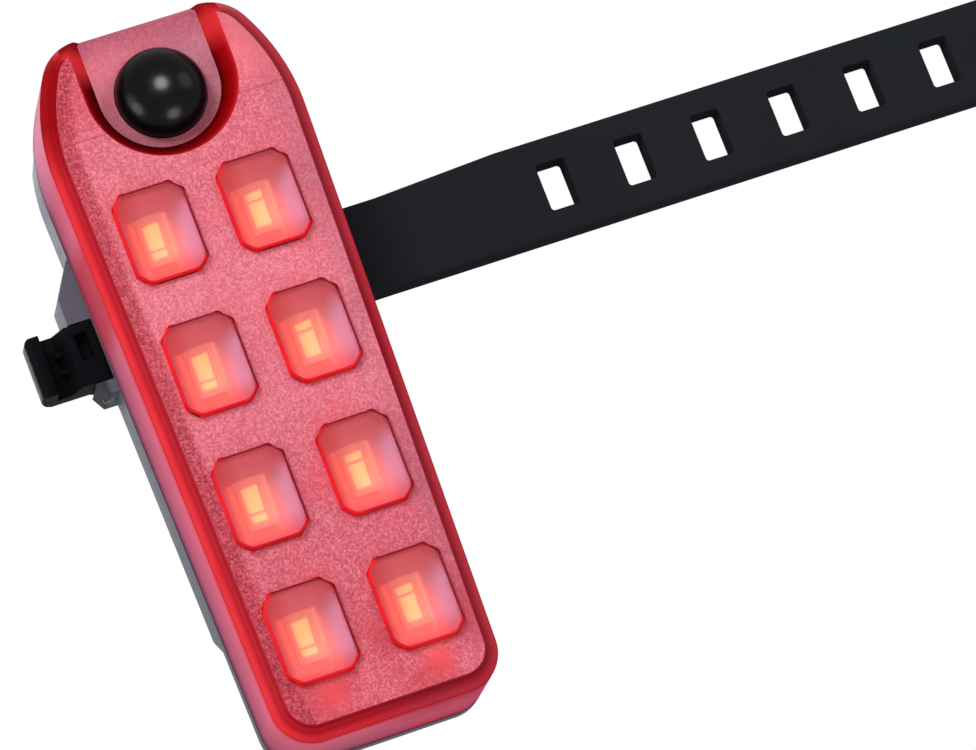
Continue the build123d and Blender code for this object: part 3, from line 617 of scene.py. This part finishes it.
def window_prism(centre, front, back, grow=0.0, edge=0.0):
    """A chamfered block behind one window's outline, from one depth to another."""
    half_x, half_z = window_half_width + grow, window_half_height + grow
    corners = []
    for side_x, side_z in ((-1, 1), (1, 1), (1, -1), (-1, -1)):
        near = (side_x * (half_x - window_chamfer), side_z * half_z)
        far = (side_x * half_x, side_z * (half_z - window_chamfer))
        corners += [far, near] if side_x * side_z < 0 else [near, far]
    bm = bmesh.new()
    rounded = [point for trio in zip(corners[-1:] + corners, corners, corners[1:] + corners[:1])
               for point in round_corner(*map(Vector, trio))]
    middle_x, middle_z = centre[0], centre[2] - light_rise
    base = bm.faces.new([bm.verts.new((middle_x + x, -back, middle_z + z)) for x, z in rounded])
    grown = bmesh.ops.extrude_face_region(bm, geom=[base])
    moved = [item for item in grown["geom"] if isinstance(item, bmesh.types.BMVert)]
    bmesh.ops.translate(bm, verts=moved, vec=(0.0, back - front, 0.0))
    bmesh.ops.recalc_face_normals(bm, faces=bm.faces)
    if edge:
        top = [e for e in bm.edges if all(abs(v.co.y + front) < 1e-6 for v in e.verts)]
        bmesh.ops.bevel(bm, geom=top, offset=edge, segments=3, profile=0.5, affect="EDGES", material=-1)
    return bm


print("a window is", round(2 * window_half_width / mm, 1), "by", round(2 * window_half_height / mm, 1), "mm")

# %% [markdown]
# ## Pieces that ride and replace
# Every new piece rides on a body, so that it moves with it, and stands for the CAD nodes that it dresses.


# %% Making a piece, and copying a CAD node
def new_piece(name, bm, body, materials, replaced=(), smooth=35.0):
    """Turns a bmesh into an object that rides on a body and stands for some CAD nodes."""
    mesh = bpy.data.meshes.new(name)
    bm.to_mesh(mesh)
    bm.free()
    for material in materials:
        mesh.materials.append(material)
    mesh.shade_smooth()
    mesh.set_sharp_from_angle(angle=radians(smooth))
    piece = bpy.data.objects.new(name, mesh)
    scene.collection.objects.link(piece)
    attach(piece, body)
    if replaced:
        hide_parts(*replaced)
    return piece


def merged_copy(node):
    """A bmesh of a CAD node with its loose triangles joined and its flat faces made whole."""
    bm = bmesh.new()
    bm.from_mesh(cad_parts[node].data)
    bmesh.ops.remove_doubles(bm, verts=bm.verts, dist=0.0005 * mm)
    bmesh.ops.dissolve_limit(bm, angle_limit=radians(0.3), verts=bm.verts, edges=bm.edges)
    return bm


# %% Which face of the lens gets which finish
hair = 0.01 * mm


def window_distance(point, centre):
    """How far a point is outside one window's outline, seen from the front."""
    across = abs(point.x - centre[0]) - window_half_width
    return max(across, abs(point.z - centre[2] + light_rise) - window_half_height)


def outside_wall(middle, turn, rim):
    """True where a face looks sideways and no point of the lens's rim is far beyond it."""
    flat, here = Vector((turn.x, turn.z)).normalized(), Vector((middle.x, middle.z))
    return abs(turn.y) < 0.3 and max((Vector(point) - here).dot(flat) for point in rim) < lens_wall


def sort_lens_faces(bm):
    """Gives each face its finish: 0 face, 1 bevel, 2 wall, 3 recess wall, 4 recess floor, 5 inside, 6 rim."""
    counts = [0] * 7
    points = [(vert.co.x, vert.co.z) for vert in bm.verts]
    rim = [points[index] for index in convex_hull_2d(points)]
    for face in bm.faces:
        middle = face.calc_center_median()
        ahead, turn = -middle.y, face.normal
        beside = min(window_distance(middle, centre) for centre in light_centres)
        in_recess = middle.z > recess_low and abs(middle.x) < recess_half
        if turn.y < -0.999 and ahead > face_front - hair:
            kind = 0
        elif ahead > face_front + hair or (beside < 0.05 * mm and ahead > face_front - 1.5 * mm):
            kind = 6
        elif in_recess and turn.y < -0.999 and ahead > recess_floor - hair:
            kind = 4
        elif in_recess and turn.y < -0.3 and ahead > recess_floor - 2 * mm:
            kind = 3 if middle.z < recess_mouth or abs(middle.x) > mouth_half else 4
        elif turn.y < -0.3:
            kind = 1
        elif turn.y > -0.3 and outside_wall(middle, turn, rim):
            kind = 2
        else:
            kind = 5
        face.material_index = kind
        counts[kind] += 1
    return counts


print("a wall is where no rim lies more than", round(lens_wall / mm, 2), "mm beyond")

# %% The whole shell, and one cutter for all windows
shell_bm = merged_copy("front_lens")
shell_mesh = bpy.data.meshes.new("lens_shell")
shell_bm.to_mesh(shell_mesh)
shell_bm.free()
shell_raw = bpy.data.objects.new("lens_raw", shell_mesh)
scene.collection.objects.link(shell_raw)
cutter_bm = bmesh.new()
cut_overrun, cut_depth = 1.0 * mm, 3.0 * mm
for centre in light_centres:
    prism = window_prism(centre, window_front + cut_overrun, face_front - cut_depth)
    part = bpy.data.meshes.new("part")
    prism.to_mesh(part)
    prism.free()
    cutter_bm.from_mesh(part)
    bpy.data.meshes.remove(part)
cutter_mesh = bpy.data.meshes.new("cutter")
cutter_bm.to_mesh(cutter_mesh)
cutter_bm.free()
cutter = bpy.data.objects.new("cutter", cutter_mesh)
scene.collection.objects.link(cutter)
print("faces of the whole shell:", len(shell_mesh.polygons), "and of the cutter:", len(cutter_mesh.polygons))

# %% Cut the windows out of the shell
cut = shell_raw.modifiers.new("windows", "BOOLEAN")
cut.operation, cut.object, cut.solver = "DIFFERENCE", cutter, "EXACT"
bpy.context.view_layer.update()
cut_mesh = bpy.data.meshes.new_from_object(shell_raw.evaluated_get(bpy.context.evaluated_depsgraph_get()))
bpy.data.objects.remove(shell_raw)
bpy.data.objects.remove(cutter)
shell_bm = bmesh.new()
shell_bm.from_mesh(cut_mesh)
bmesh.ops.remove_doubles(shell_bm, verts=shell_bm.verts, dist=0.0005 * mm)
bmesh.ops.dissolve_limit(shell_bm, angle_limit=radians(0.3), verts=shell_bm.verts, edges=shell_bm.edges)
print("lens faces by finish:", sort_lens_faces(shell_bm))
lens_shell = new_piece("lens_shell", shell_bm, "front",
                       [frosted, bevel_red, wall_red, recess_wall_red, recess_floor_red, inner_red, painted_lit_rim],
                       ["front_lens"])
for polygon in lens_shell.data.polygons:
    polygon.use_smooth = polygon.material_index != 0

# %% [markdown]
# ## Panes
# Each window stands a little proud of the face, and its rounded edge has a painted red line of light on its
# left and lower sides and painted shade on the others. The front of the lens could be glass as a whole, but
# only these eight are clear. A pane has the cutter's outline, a hair smaller so that no two faces lie in one
# place.

# %% Panes of red glass
face_thickness = 1.6 * mm
pane_gap = 0.01 * mm
pane_edge = 0.35 * mm
for number, centre in enumerate(light_centres, start=1):
    pane_back = face_front - face_thickness
    pane_bm = window_prism(centre, window_front, pane_back, grow=-pane_gap, edge=pane_edge)
    for face in pane_bm.faces:
        turn = face.normal
        # faces looking left or down take the painted lit rim, the others the painted shaded rim
        face.material_index = 0 if abs(turn.y) > 0.97 else 1 if min(turn.x, turn.z) < -0.1 else 2
    pane = new_piece(f"window_{number}", pane_bm, "front", [glass, painted_lit_rim, shaded_rim], ["front_lens"])
print("panes:", len(light_centres))


# %% [markdown]
# ## Behind the windows
# Each window looks into a tapered well of pale red plastic with a light-emitting diode at its foot. Lamps
# could be set into the wells, but a weak emission on the diodes' gel lights the walls as a real diode does,
# and the walls carry a painted warm gradient, a painted shade at their tops and a faint painted glow of their
# own.

# %% Finish of the wells
def well_plastic():
    """Pale red reflector with painted light and shade: warmer towards its foot, redder at its top. It is
    translucent, and a faint painted glow stands for the light through it.
    """
    material, tree, shader, _ = start_material("Pale red reflector")
    point = place(tree)
    depth = between(tree, axes(tree, point)["Y"], -face_front, -board_front)
    # painted light: the walls grow paler and warmer towards the foot, where the diode lies
    body = ramp(tree, depth, [(0.2, "#a87898"), (0.6, "#b88dac"), (1.0, "#f09c94")])
    _, up, _ = window_place(tree, point)
    # painted shade: the top of each well is redder, as less light reaches it
    top_shaded = mixed(tree, between(tree, up, 2.0 * mm, 4.5 * mm, 0.0, 0.9), body, "#d83844")
    clouds = times(tree, noise(tree, point, 260.0, 3.0), 0.35)
    cloudy = mixed(tree, clouds, top_shaded, "#c86c84")
    dimples = noise(tree, point, 900.0, 2.0)
    # painted glow: a faint emission stands in for light passing through the plastic
    fill(tree, shader, {"Base Color": cloudy, "Emission Color": cloudy, "Emission Strength": 0.22,
                        "Roughness": 0.4, "Specular IOR Level": 0.2,
                        "Normal": bumps(tree, dimples, 0.12, 0.05)})
    return material


well_red = well_plastic()
print("wells:", well_red.name)

# %% [markdown]
# ## The board
# The board is coated white, and shows pinkish through the lens with a painted warm bloom of light round each
# light and a faint painted glow. Its tracks could be modelled, but behind red glass a faint pattern of bricks
# is enough to break the colour.


# %% Finish of the board
def board_laminate():
    """Pinkish white solder mask with a painted warm bloom round each light and a faint painted glow, and
    faint copper tracks.
    """
    material, tree, shader, _ = start_material("Board laminate")
    point = place(tree)
    nearness, _ = near_lights(tree, point, 1.2 * mm, 4.5 * mm)
    depth = axes(tree, point)["Y"]
    front = between(tree, depth, 0.05 * mm - board_front, 0.15 * mm - board_front, 1.0, 0.0)
    # painted light: a warm bloom round each light on the board's front
    bloom = times(tree, nearness, front)
    body = ramp(tree, bloom, [(0.0, "#ee98a0"), (0.5, "#f8aa96"), (1.0, "#ffbc88")])
    tracks = put(tree, "TexBrick", {"Vector": point, "Scale": 180.0, "Mortar Size": 0.012})
    copper = mixed(tree, times(tree, tracks.outputs["Fac"], 0.15), body, "#c86450")
    # painted glow: the board's front gets an emission, though it is no lamp
    fill(tree, shader, {"Base Color": mixed(tree, front, "#c8808a", copper),
                        "Emission Color": mixed(tree, front, "#000000", copper), "Emission Strength": 0.36,
                        "Roughness": 0.35, "Specular IOR Level": 0.2})
    return material


laminate = board_laminate()
print("board:", laminate.name)

# %% [markdown]
# ## The diodes
# A diode is a pale package with a yellow gel in two halves. They could be modelled one by one, but here the
# gel and its split are drawn by where a point lies behind its own window, so one material serves all eight.


# %% Finish of the diodes
def diode_gel():
    """A pale package with a weak painted glow, whose split gel glows warm yellow. The split is low on the
    left, high on the right.
    """
    material, tree, shader, _ = start_material("Glowing diode")
    point = place(tree)
    across, up, side = window_place(tree, point)
    narrow = maths(tree, "LESS_THAN", maths(tree, "ABSOLUTE", across), 0.86 * mm)
    risen = maths(tree, "SUBTRACT", up, light_rise)
    short = maths(tree, "LESS_THAN", maths(tree, "ABSOLUTE", risen), 1.95 * mm)
    split = maths(tree, "ABSOLUTE", maths(tree, "SUBTRACT", risen, times(tree, side, 1.0 * mm)))
    whole = maths(tree, "GREATER_THAN", split, 0.14 * mm)
    inside = times(tree, times(tree, narrow, short), whole)
    rough = maths(tree, "ADD", times(tree, noise(tree, point, 1500.0), 0.2), 0.3)
    # the package outside the gel has a weak painted glow
    fill(tree, shader, {"Base Color": mixed(tree, inside, "#f09c80", "#d8b078"), "Roughness": rough,
                        "Emission Color": mixed(tree, inside, "#a85c50", "#ffda7c"),
                        "Emission Strength": 0.6})
    return material


gel = diode_gel()
print("diodes:", gel.name)

# %% [markdown]
# ## Hard pieces from their CAD nodes
# The housing, hook, saddle, pad and strap take their shapes from the CAD. They could be modelled anew, but a
# copy of a node fits its neighbours already. It is joined first, because the imported mesh is loose
# triangles. The saddle and its pad are trimmed to stay hidden behind the lamp, as in the photograph, and the
# strap widens a little on its way.


# %% Trimming and widening
def trimmed(bm, half):
    """Takes the sides off a piece beyond a distance from the middle, and closes the cuts."""
    for side in (-1, 1):
        whole = bm.verts[:] + bm.edges[:] + bm.faces[:]
        bmesh.ops.bisect_plane(bm, geom=whole, plane_co=(side * half, 0.0, 0.0), plane_no=(side, 0.0, 0.0),
                               clear_outer=True)
        bmesh.ops.holes_fill(bm, edges=[edge for edge in bm.edges if edge.is_boundary])
    return bm


def widened(bm, start, end, low, share):
    """Lets a strap grow gently wider between two places along it, upwards from its lower edge."""
    for place_x in (start, end):
        whole = bm.verts[:] + bm.edges[:] + bm.faces[:]
        bmesh.ops.bisect_plane(bm, geom=whole, plane_co=(place_x, 0.0, 0.0), plane_no=(1.0, 0.0, 0.0))
    for vert in bm.verts:
        grown = min(max((vert.co.x - start) / (end - start), 0.0), 1.0)
        vert.co.z = low + (vert.co.z - low) * (1 + share * grown)
    return bm


saddle_half, pad_inset = 10.8 * mm, 0.4 * mm
wider_from, wider_to, wider_share = 21.7 * mm, 37.0 * mm, 0.07
print("saddle", round(2 * saddle_half / mm, 1), "mm wide, strap", round(100 * wider_share), "percent wider")

# %% [markdown]
# ## Rounded edges
# A real moulding has no knife edges, so each copy gets a small rounded edge that catches the light. It could
# be bevelled for good with bmesh, but a Bevel modifier finds the edges by their angle and keeps its width
# easy to change. A Weld after it joins the points that bevels leave a hair apart at a corner.


# %% Pieces with rounded edges
def edged(node, body, material, width, bm=None, joined=0.001 * mm):
    """A joined copy of a CAD node with its sharp edges rounded, and points closer than joined made one."""
    piece = new_piece(node + "_dressed", bm or merged_copy(node), body, [material], [node])
    rounding = piece.modifiers.new("rounded edges", "BEVEL")
    rounding.width = width
    rounding.segments = 2
    rounding.limit_method = "ANGLE"
    rounding.angle_limit = radians(40.0)
    rounding.harden_normals = True
    rounding.use_clamp_overlap = True
    joining = piece.modifiers.new("joined corners", "WELD")
    joining.merge_threshold = joined


edged("rear_housing", "housing", finishes["housing"], 0.12 * mm)
edged("post_saddle", "housing", finishes["saddle"], 0.2 * mm,
      bm=trimmed(merged_copy("post_saddle"), saddle_half), joined=0.004 * mm)
edged("strap_hook", "housing", finishes["hook"], 0.18 * mm)
strap_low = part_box("rubber_strap")[0][2]
edged("rubber_strap", "strap", finishes["strap"], 0.12 * mm,
      bm=widened(merged_copy("rubber_strap"), wider_from, wider_to, strap_low, wider_share))
edged("saddle_pad", "housing", finishes["pad"], 0.25 * mm,
      bm=trimmed(merged_copy("saddle_pad"), saddle_half - pad_inset))

# %% [markdown]
# ## Pieces that keep the CAD's mesh
# The cells, the board's parts, the contacts, screws and pins are small or hidden. They could be copied and
# rounded too, but their CAD meshes are fine enough, so a finish goes straight onto the node.


# %% Finish of the cells' sleeve
def cell_sleeve():
    """A dark printed sleeve with a bright band at one end."""
    material, tree, shader, _ = start_material("Cell sleeve")
    point = place(tree)
    low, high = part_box("battery_cell_left")
    share = between(tree, axes(tree, point)["Z"], float(low[2]), float(high[2]))
    dark, bright = "#2c3036", "#8f9aa5"
    sleeve = ramp(tree, share, [(0.0, dark), (0.78, dark), (0.79, bright), (1.0, bright)], "CONSTANT")
    scuffs = times(tree, noise(tree, point, 300.0, 5.0), 0.3)
    fill(tree, shader, {"Base Color": mixed(tree, scuffs, sleeve, "#565c64"), "Roughness": 0.25,
                        "Coat Weight": 0.4})
    return material


sleeve = cell_sleeve()
print("cells:", sleeve.name)

# %% Finishes of the remaining CAD nodes
node_finishes = {
    "power_button": finishes["button"],
    "light_well_frame": well_red,
    "circuit_board": laminate,
    "control_chip": finishes["chip"],
    "chip_resistors": finishes["chip"],
    "chip_capacitor": finishes["ceramic"],
    "switch_body": finishes["chip"],
    "switch_plunger": finishes["white"],
    "board_screws": finishes["steel"],
    "saddle_screws": finishes["steel"],
    "hook_pin": finishes["dark pin"],
    "strap_pin": finishes["dark pin"],
    "contact_fingers": finishes["nickel"],
    "bridge_contact": finishes["nickel"],
    "negative_contact": finishes["nickel"],
    "positive_contact": finishes["nickel"],
    "battery_cell_left": sleeve,
    "battery_cell_right": sleeve,
    "seal_ring": finishes["seal"],
    **{f"led_{number}": gel for number in range(1, 9)},
}
for name, material in node_finishes.items():
    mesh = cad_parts[name].data
    mesh.materials.clear()
    mesh.materials.append(material)
print("CAD nodes dressed directly:", len(node_finishes))

# %% [markdown]
# ## The button's dome
# The button is the one glossy ball in the picture, so its facets would show. Spinning a smooth profile
# gives a clean dome. The CAD node could be subdivided instead, but a spun profile keeps the highlight
# round.

# %% Spin the dome
button_low, button_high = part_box("power_button")
button_middle = (button_low + button_high) / 2
button_radius = 5.35 * mm
dome_height = 4.0 * mm
flange_radius = (button_high[0] - button_low[0]) / 2
dome_front, flange_back = -button_low[1], -button_high[1]
skirt_front = dome_front - dome_height
flange_front = flange_back + 0.65 * mm
cavity_front = dome_front - 2.0 * mm
cavity_radius, pip_radius = 3.7 * mm, 1.2 * mm
pip_end = 0.3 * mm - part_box("switch_plunger")[0][1]


def dome_profile(steps=14):
    """Radius and depth of the dome's outline, from its tip to the middle of the flange's back."""
    turns = [radians(90 * step / steps) for step in range(steps + 1)]
    curve = [(button_radius * sin(turn), skirt_front + dome_height * cos(turn)) for turn in turns]
    flange = [(button_radius, flange_front), (flange_radius, flange_front), (flange_radius, flange_back)]
    cavity = [(cavity_radius, flange_back), (cavity_radius, cavity_front)]
    pip = [(pip_radius, cavity_front), (pip_radius, pip_end), (0.0, pip_end)]
    return curve + flange + cavity + pip


dome_bm = bmesh.new()
dome_x, dome_z = button_middle[0], button_middle[2]
chain = [dome_bm.verts.new((dome_x + radius, -ahead, dome_z)) for radius, ahead in dome_profile()]
links = [dome_bm.edges.new(pair) for pair in zip(chain, chain[1:])]
bmesh.ops.spin(dome_bm, geom=chain + links, cent=(dome_x, 0.0, dome_z), axis=(0.0, 1.0, 0.0),
               angle=radians(360), steps=64, use_merge=True)
bmesh.ops.remove_doubles(dome_bm, verts=dome_bm.verts, dist=0.002 * mm)
bmesh.ops.recalc_face_normals(dome_bm, faces=dome_bm.faces)
dome = new_piece("button_dome", dome_bm, "button", [finishes["button"]], ["power_button"], smooth=40.0)
print("dome", len(dome.data.polygons), "faces")

# %% [markdown]
# ## Studio
# The lamp hangs as if on its post, so the pale floor lies well below it and the backdrop is the world
# itself. The camera, and what glossy and clear surfaces see, get a white world, while diffuse light comes
# from a dimmer one and from soft lamps, so that colours render about as they are written.

# %% Floor
floor_level, floor_half = -0.34, 3.0
floor_bm = bmesh.new()
bmesh.ops.create_grid(floor_bm, x_segments=1, y_segments=1, size=floor_half)
bmesh.ops.translate(floor_bm, verts=floor_bm.verts, vec=(0.0, 0.0, floor_level))
floor_mesh = bpy.data.meshes.new("floor")
floor_bm.to_mesh(floor_mesh)
floor_bm.free()
floor = bpy.data.objects.new("floor", floor_mesh)
scene.collection.objects.link(floor)


def seen_rays(tree):
    """One for the rays that show a thing: the camera's, and those of glossy and clear surfaces."""
    rays = put(tree, "LightPath").outputs
    seen = maths(tree, "MAXIMUM", rays["Is Camera Ray"], rays["Is Glossy Ray"])
    return maths(tree, "MAXIMUM", seen, rays["Is Transmission Ray"])


def pale_floor():
    """A pale floor that keeps a soft shadow, looks white to the camera, and is clear from below."""
    material, tree, shader, output = start_material("Pale floor")
    glow = between(tree, seen_rays(tree), 0.0, 1.0, 0.5, 0.8)
    fill(tree, shader, {"Base Color": (0.3, 0.3, 0.3, 1.0), "Roughness": 0.7, "Specular IOR Level": 0.0,
                        "Emission Color": (1.0, 1.0, 1.0, 1.0), "Emission Strength": glow})
    clear = put(tree, "BsdfTransparent")
    behind = put(tree, "NewGeometry").outputs["Backfacing"]
    choice = put(tree, "MixShader", {0: behind, 1: shader.outputs["BSDF"], 2: clear.outputs["BSDF"]})
    fill(tree, output, {"Surface": choice.outputs["Shader"]})
    return material


floor_mesh.materials.append(pale_floor())
print("floor", floor_level, "m from the middle of the part")

# %% World
world = bpy.data.worlds.new("Studio")
scene.world = world
world.use_nodes = True
sky = world.node_tree
sky.nodes.clear()
backdrop = put(sky, "Background", {"Color": (1.0, 1.0, 1.0, 1.0), "Strength": 1.0})
ambient = put(sky, "Background", {"Color": (0.97, 0.98, 1.0, 1.0), "Strength": 0.4})
shades = {0: seen_rays(sky), 1: ambient.outputs["Background"], 2: backdrop.outputs["Background"]}
both = put(sky, "MixShader", shades)
put(sky, "OutputWorld", {"Surface": both.outputs["Shader"]})
print("world:", world.name, "with one brightness to be seen and one to light")

# %% [markdown]
# ## Soft lamps
# The photograph has soft light from every side and hardly a shadow. A picture of a studio could light the
# piece, but a few round soft boxes are easy to move. The brightest one stands high on the left.


# %% Soft lamps
def soft_lamp(name, place_at, size, power, target=(0.0, -0.03, -0.01)):
    """A round soft box that looks at the bicycle's lamp."""
    data = bpy.data.lights.new(name, "AREA")
    data.shape = "DISK"
    data.size = size
    data.energy = power
    lamp = bpy.data.objects.new(name, data)
    lamp.location = place_at
    aim = Vector(target) - Vector(place_at)
    lamp.rotation_mode = "QUATERNION"
    lamp.rotation_quaternion = aim.to_track_quat("-Z", "Y")
    scene.collection.objects.link(lamp)
    return lamp


key = soft_lamp("key", (-0.33, -0.68, 0.55), 0.4, 5.1)
soft_lamp("fill", (0.62, -0.5, 0.15), 0.4, 1.4)
soft_lamp("side", (-0.72, -0.25, 0.06), 0.4, 1.5)
soft_lamp("rim", (-0.12, 0.7, 0.3), 0.3, 2.2)
soft_lamp("back", (0.45, 0.6, 0.1), 0.4, 2.0)

# %% [markdown]
# ## Highlights on the button
# A black ball shows only what it mirrors: a large soft spot, a faint one at its left and a small one below.
# Lamps for the whole part can't stand in all the right places, so light linking gives the button three soft
# boxes of its own and spares it the key.

# %% Soft boxes that only the button mirrors
mirrored = bpy.data.collections.new("mirrored in the button")
mirrored.objects.link(dome)
spared = bpy.data.collections.new("spared by the key")
spared.objects.link(dome)
for item in spared.collection_objects:
    item.light_linking.link_state = "EXCLUDE"
key.light_linking.receiver_collection = spared
tip = (0.0, -dome_front, button_middle[2])
for name, toward, distance, size, power in (
    ("front box", (0.078, -0.961, 0.263), 0.8, 0.32, 13.0),
    ("side box", (-0.907, -0.348, -0.236), 0.6, 0.3, 2.4),
    ("low box", (0.177, -0.559, -0.81), 0.3, 0.14, 0.7),
):
    spot = [start + distance * step for start, step in zip(tip, toward)]
    box = soft_lamp(name, spot, size, power, target=tip)
    box.light_linking.receiver_collection = mirrored

# %% [markdown]
# ## Camera
# The photograph looks from a little to the left and from below, rolled so that the lamp leans. The place,
# turn and focal length below were fitted to the corners of the windows, so the render can be laid over the
# picture.

# %% Camera at the photograph's angle
turn_left, look_up, roll = radians(13.651), radians(12.998), radians(-21.271)
focal_pixels, image_width, sensor = 5780.6, 976, 36.0
look = Vector((sin(turn_left) * cos(look_up), cos(turn_left) * cos(look_up), sin(look_up)))
level_right = look.cross(Vector((0.0, 0.0, 1.0))).normalized()
level_up = level_right.cross(look)
right = cos(roll) * level_right + sin(roll) * level_up
up = cos(roll) * level_up - sin(roll) * level_right
camera_data = bpy.data.cameras.new("camera")
camera_data.sensor_width = sensor
camera_data.lens = focal_pixels * sensor / image_width
camera_data.clip_start, camera_data.clip_end = 0.01, 20.0
camera = bpy.data.objects.new("camera", camera_data)
turn = Matrix((right, up, -look)).transposed().to_4x4()
camera_place = Vector((-127.37, -659.09, -169.57)) * mm
camera.matrix_world = Matrix.Translation(camera_place) @ turn
scene.collection.objects.link(camera)
scene.camera = camera
print("camera", [round(v, 4) for v in camera.location], "lens", round(camera_data.lens, 1))
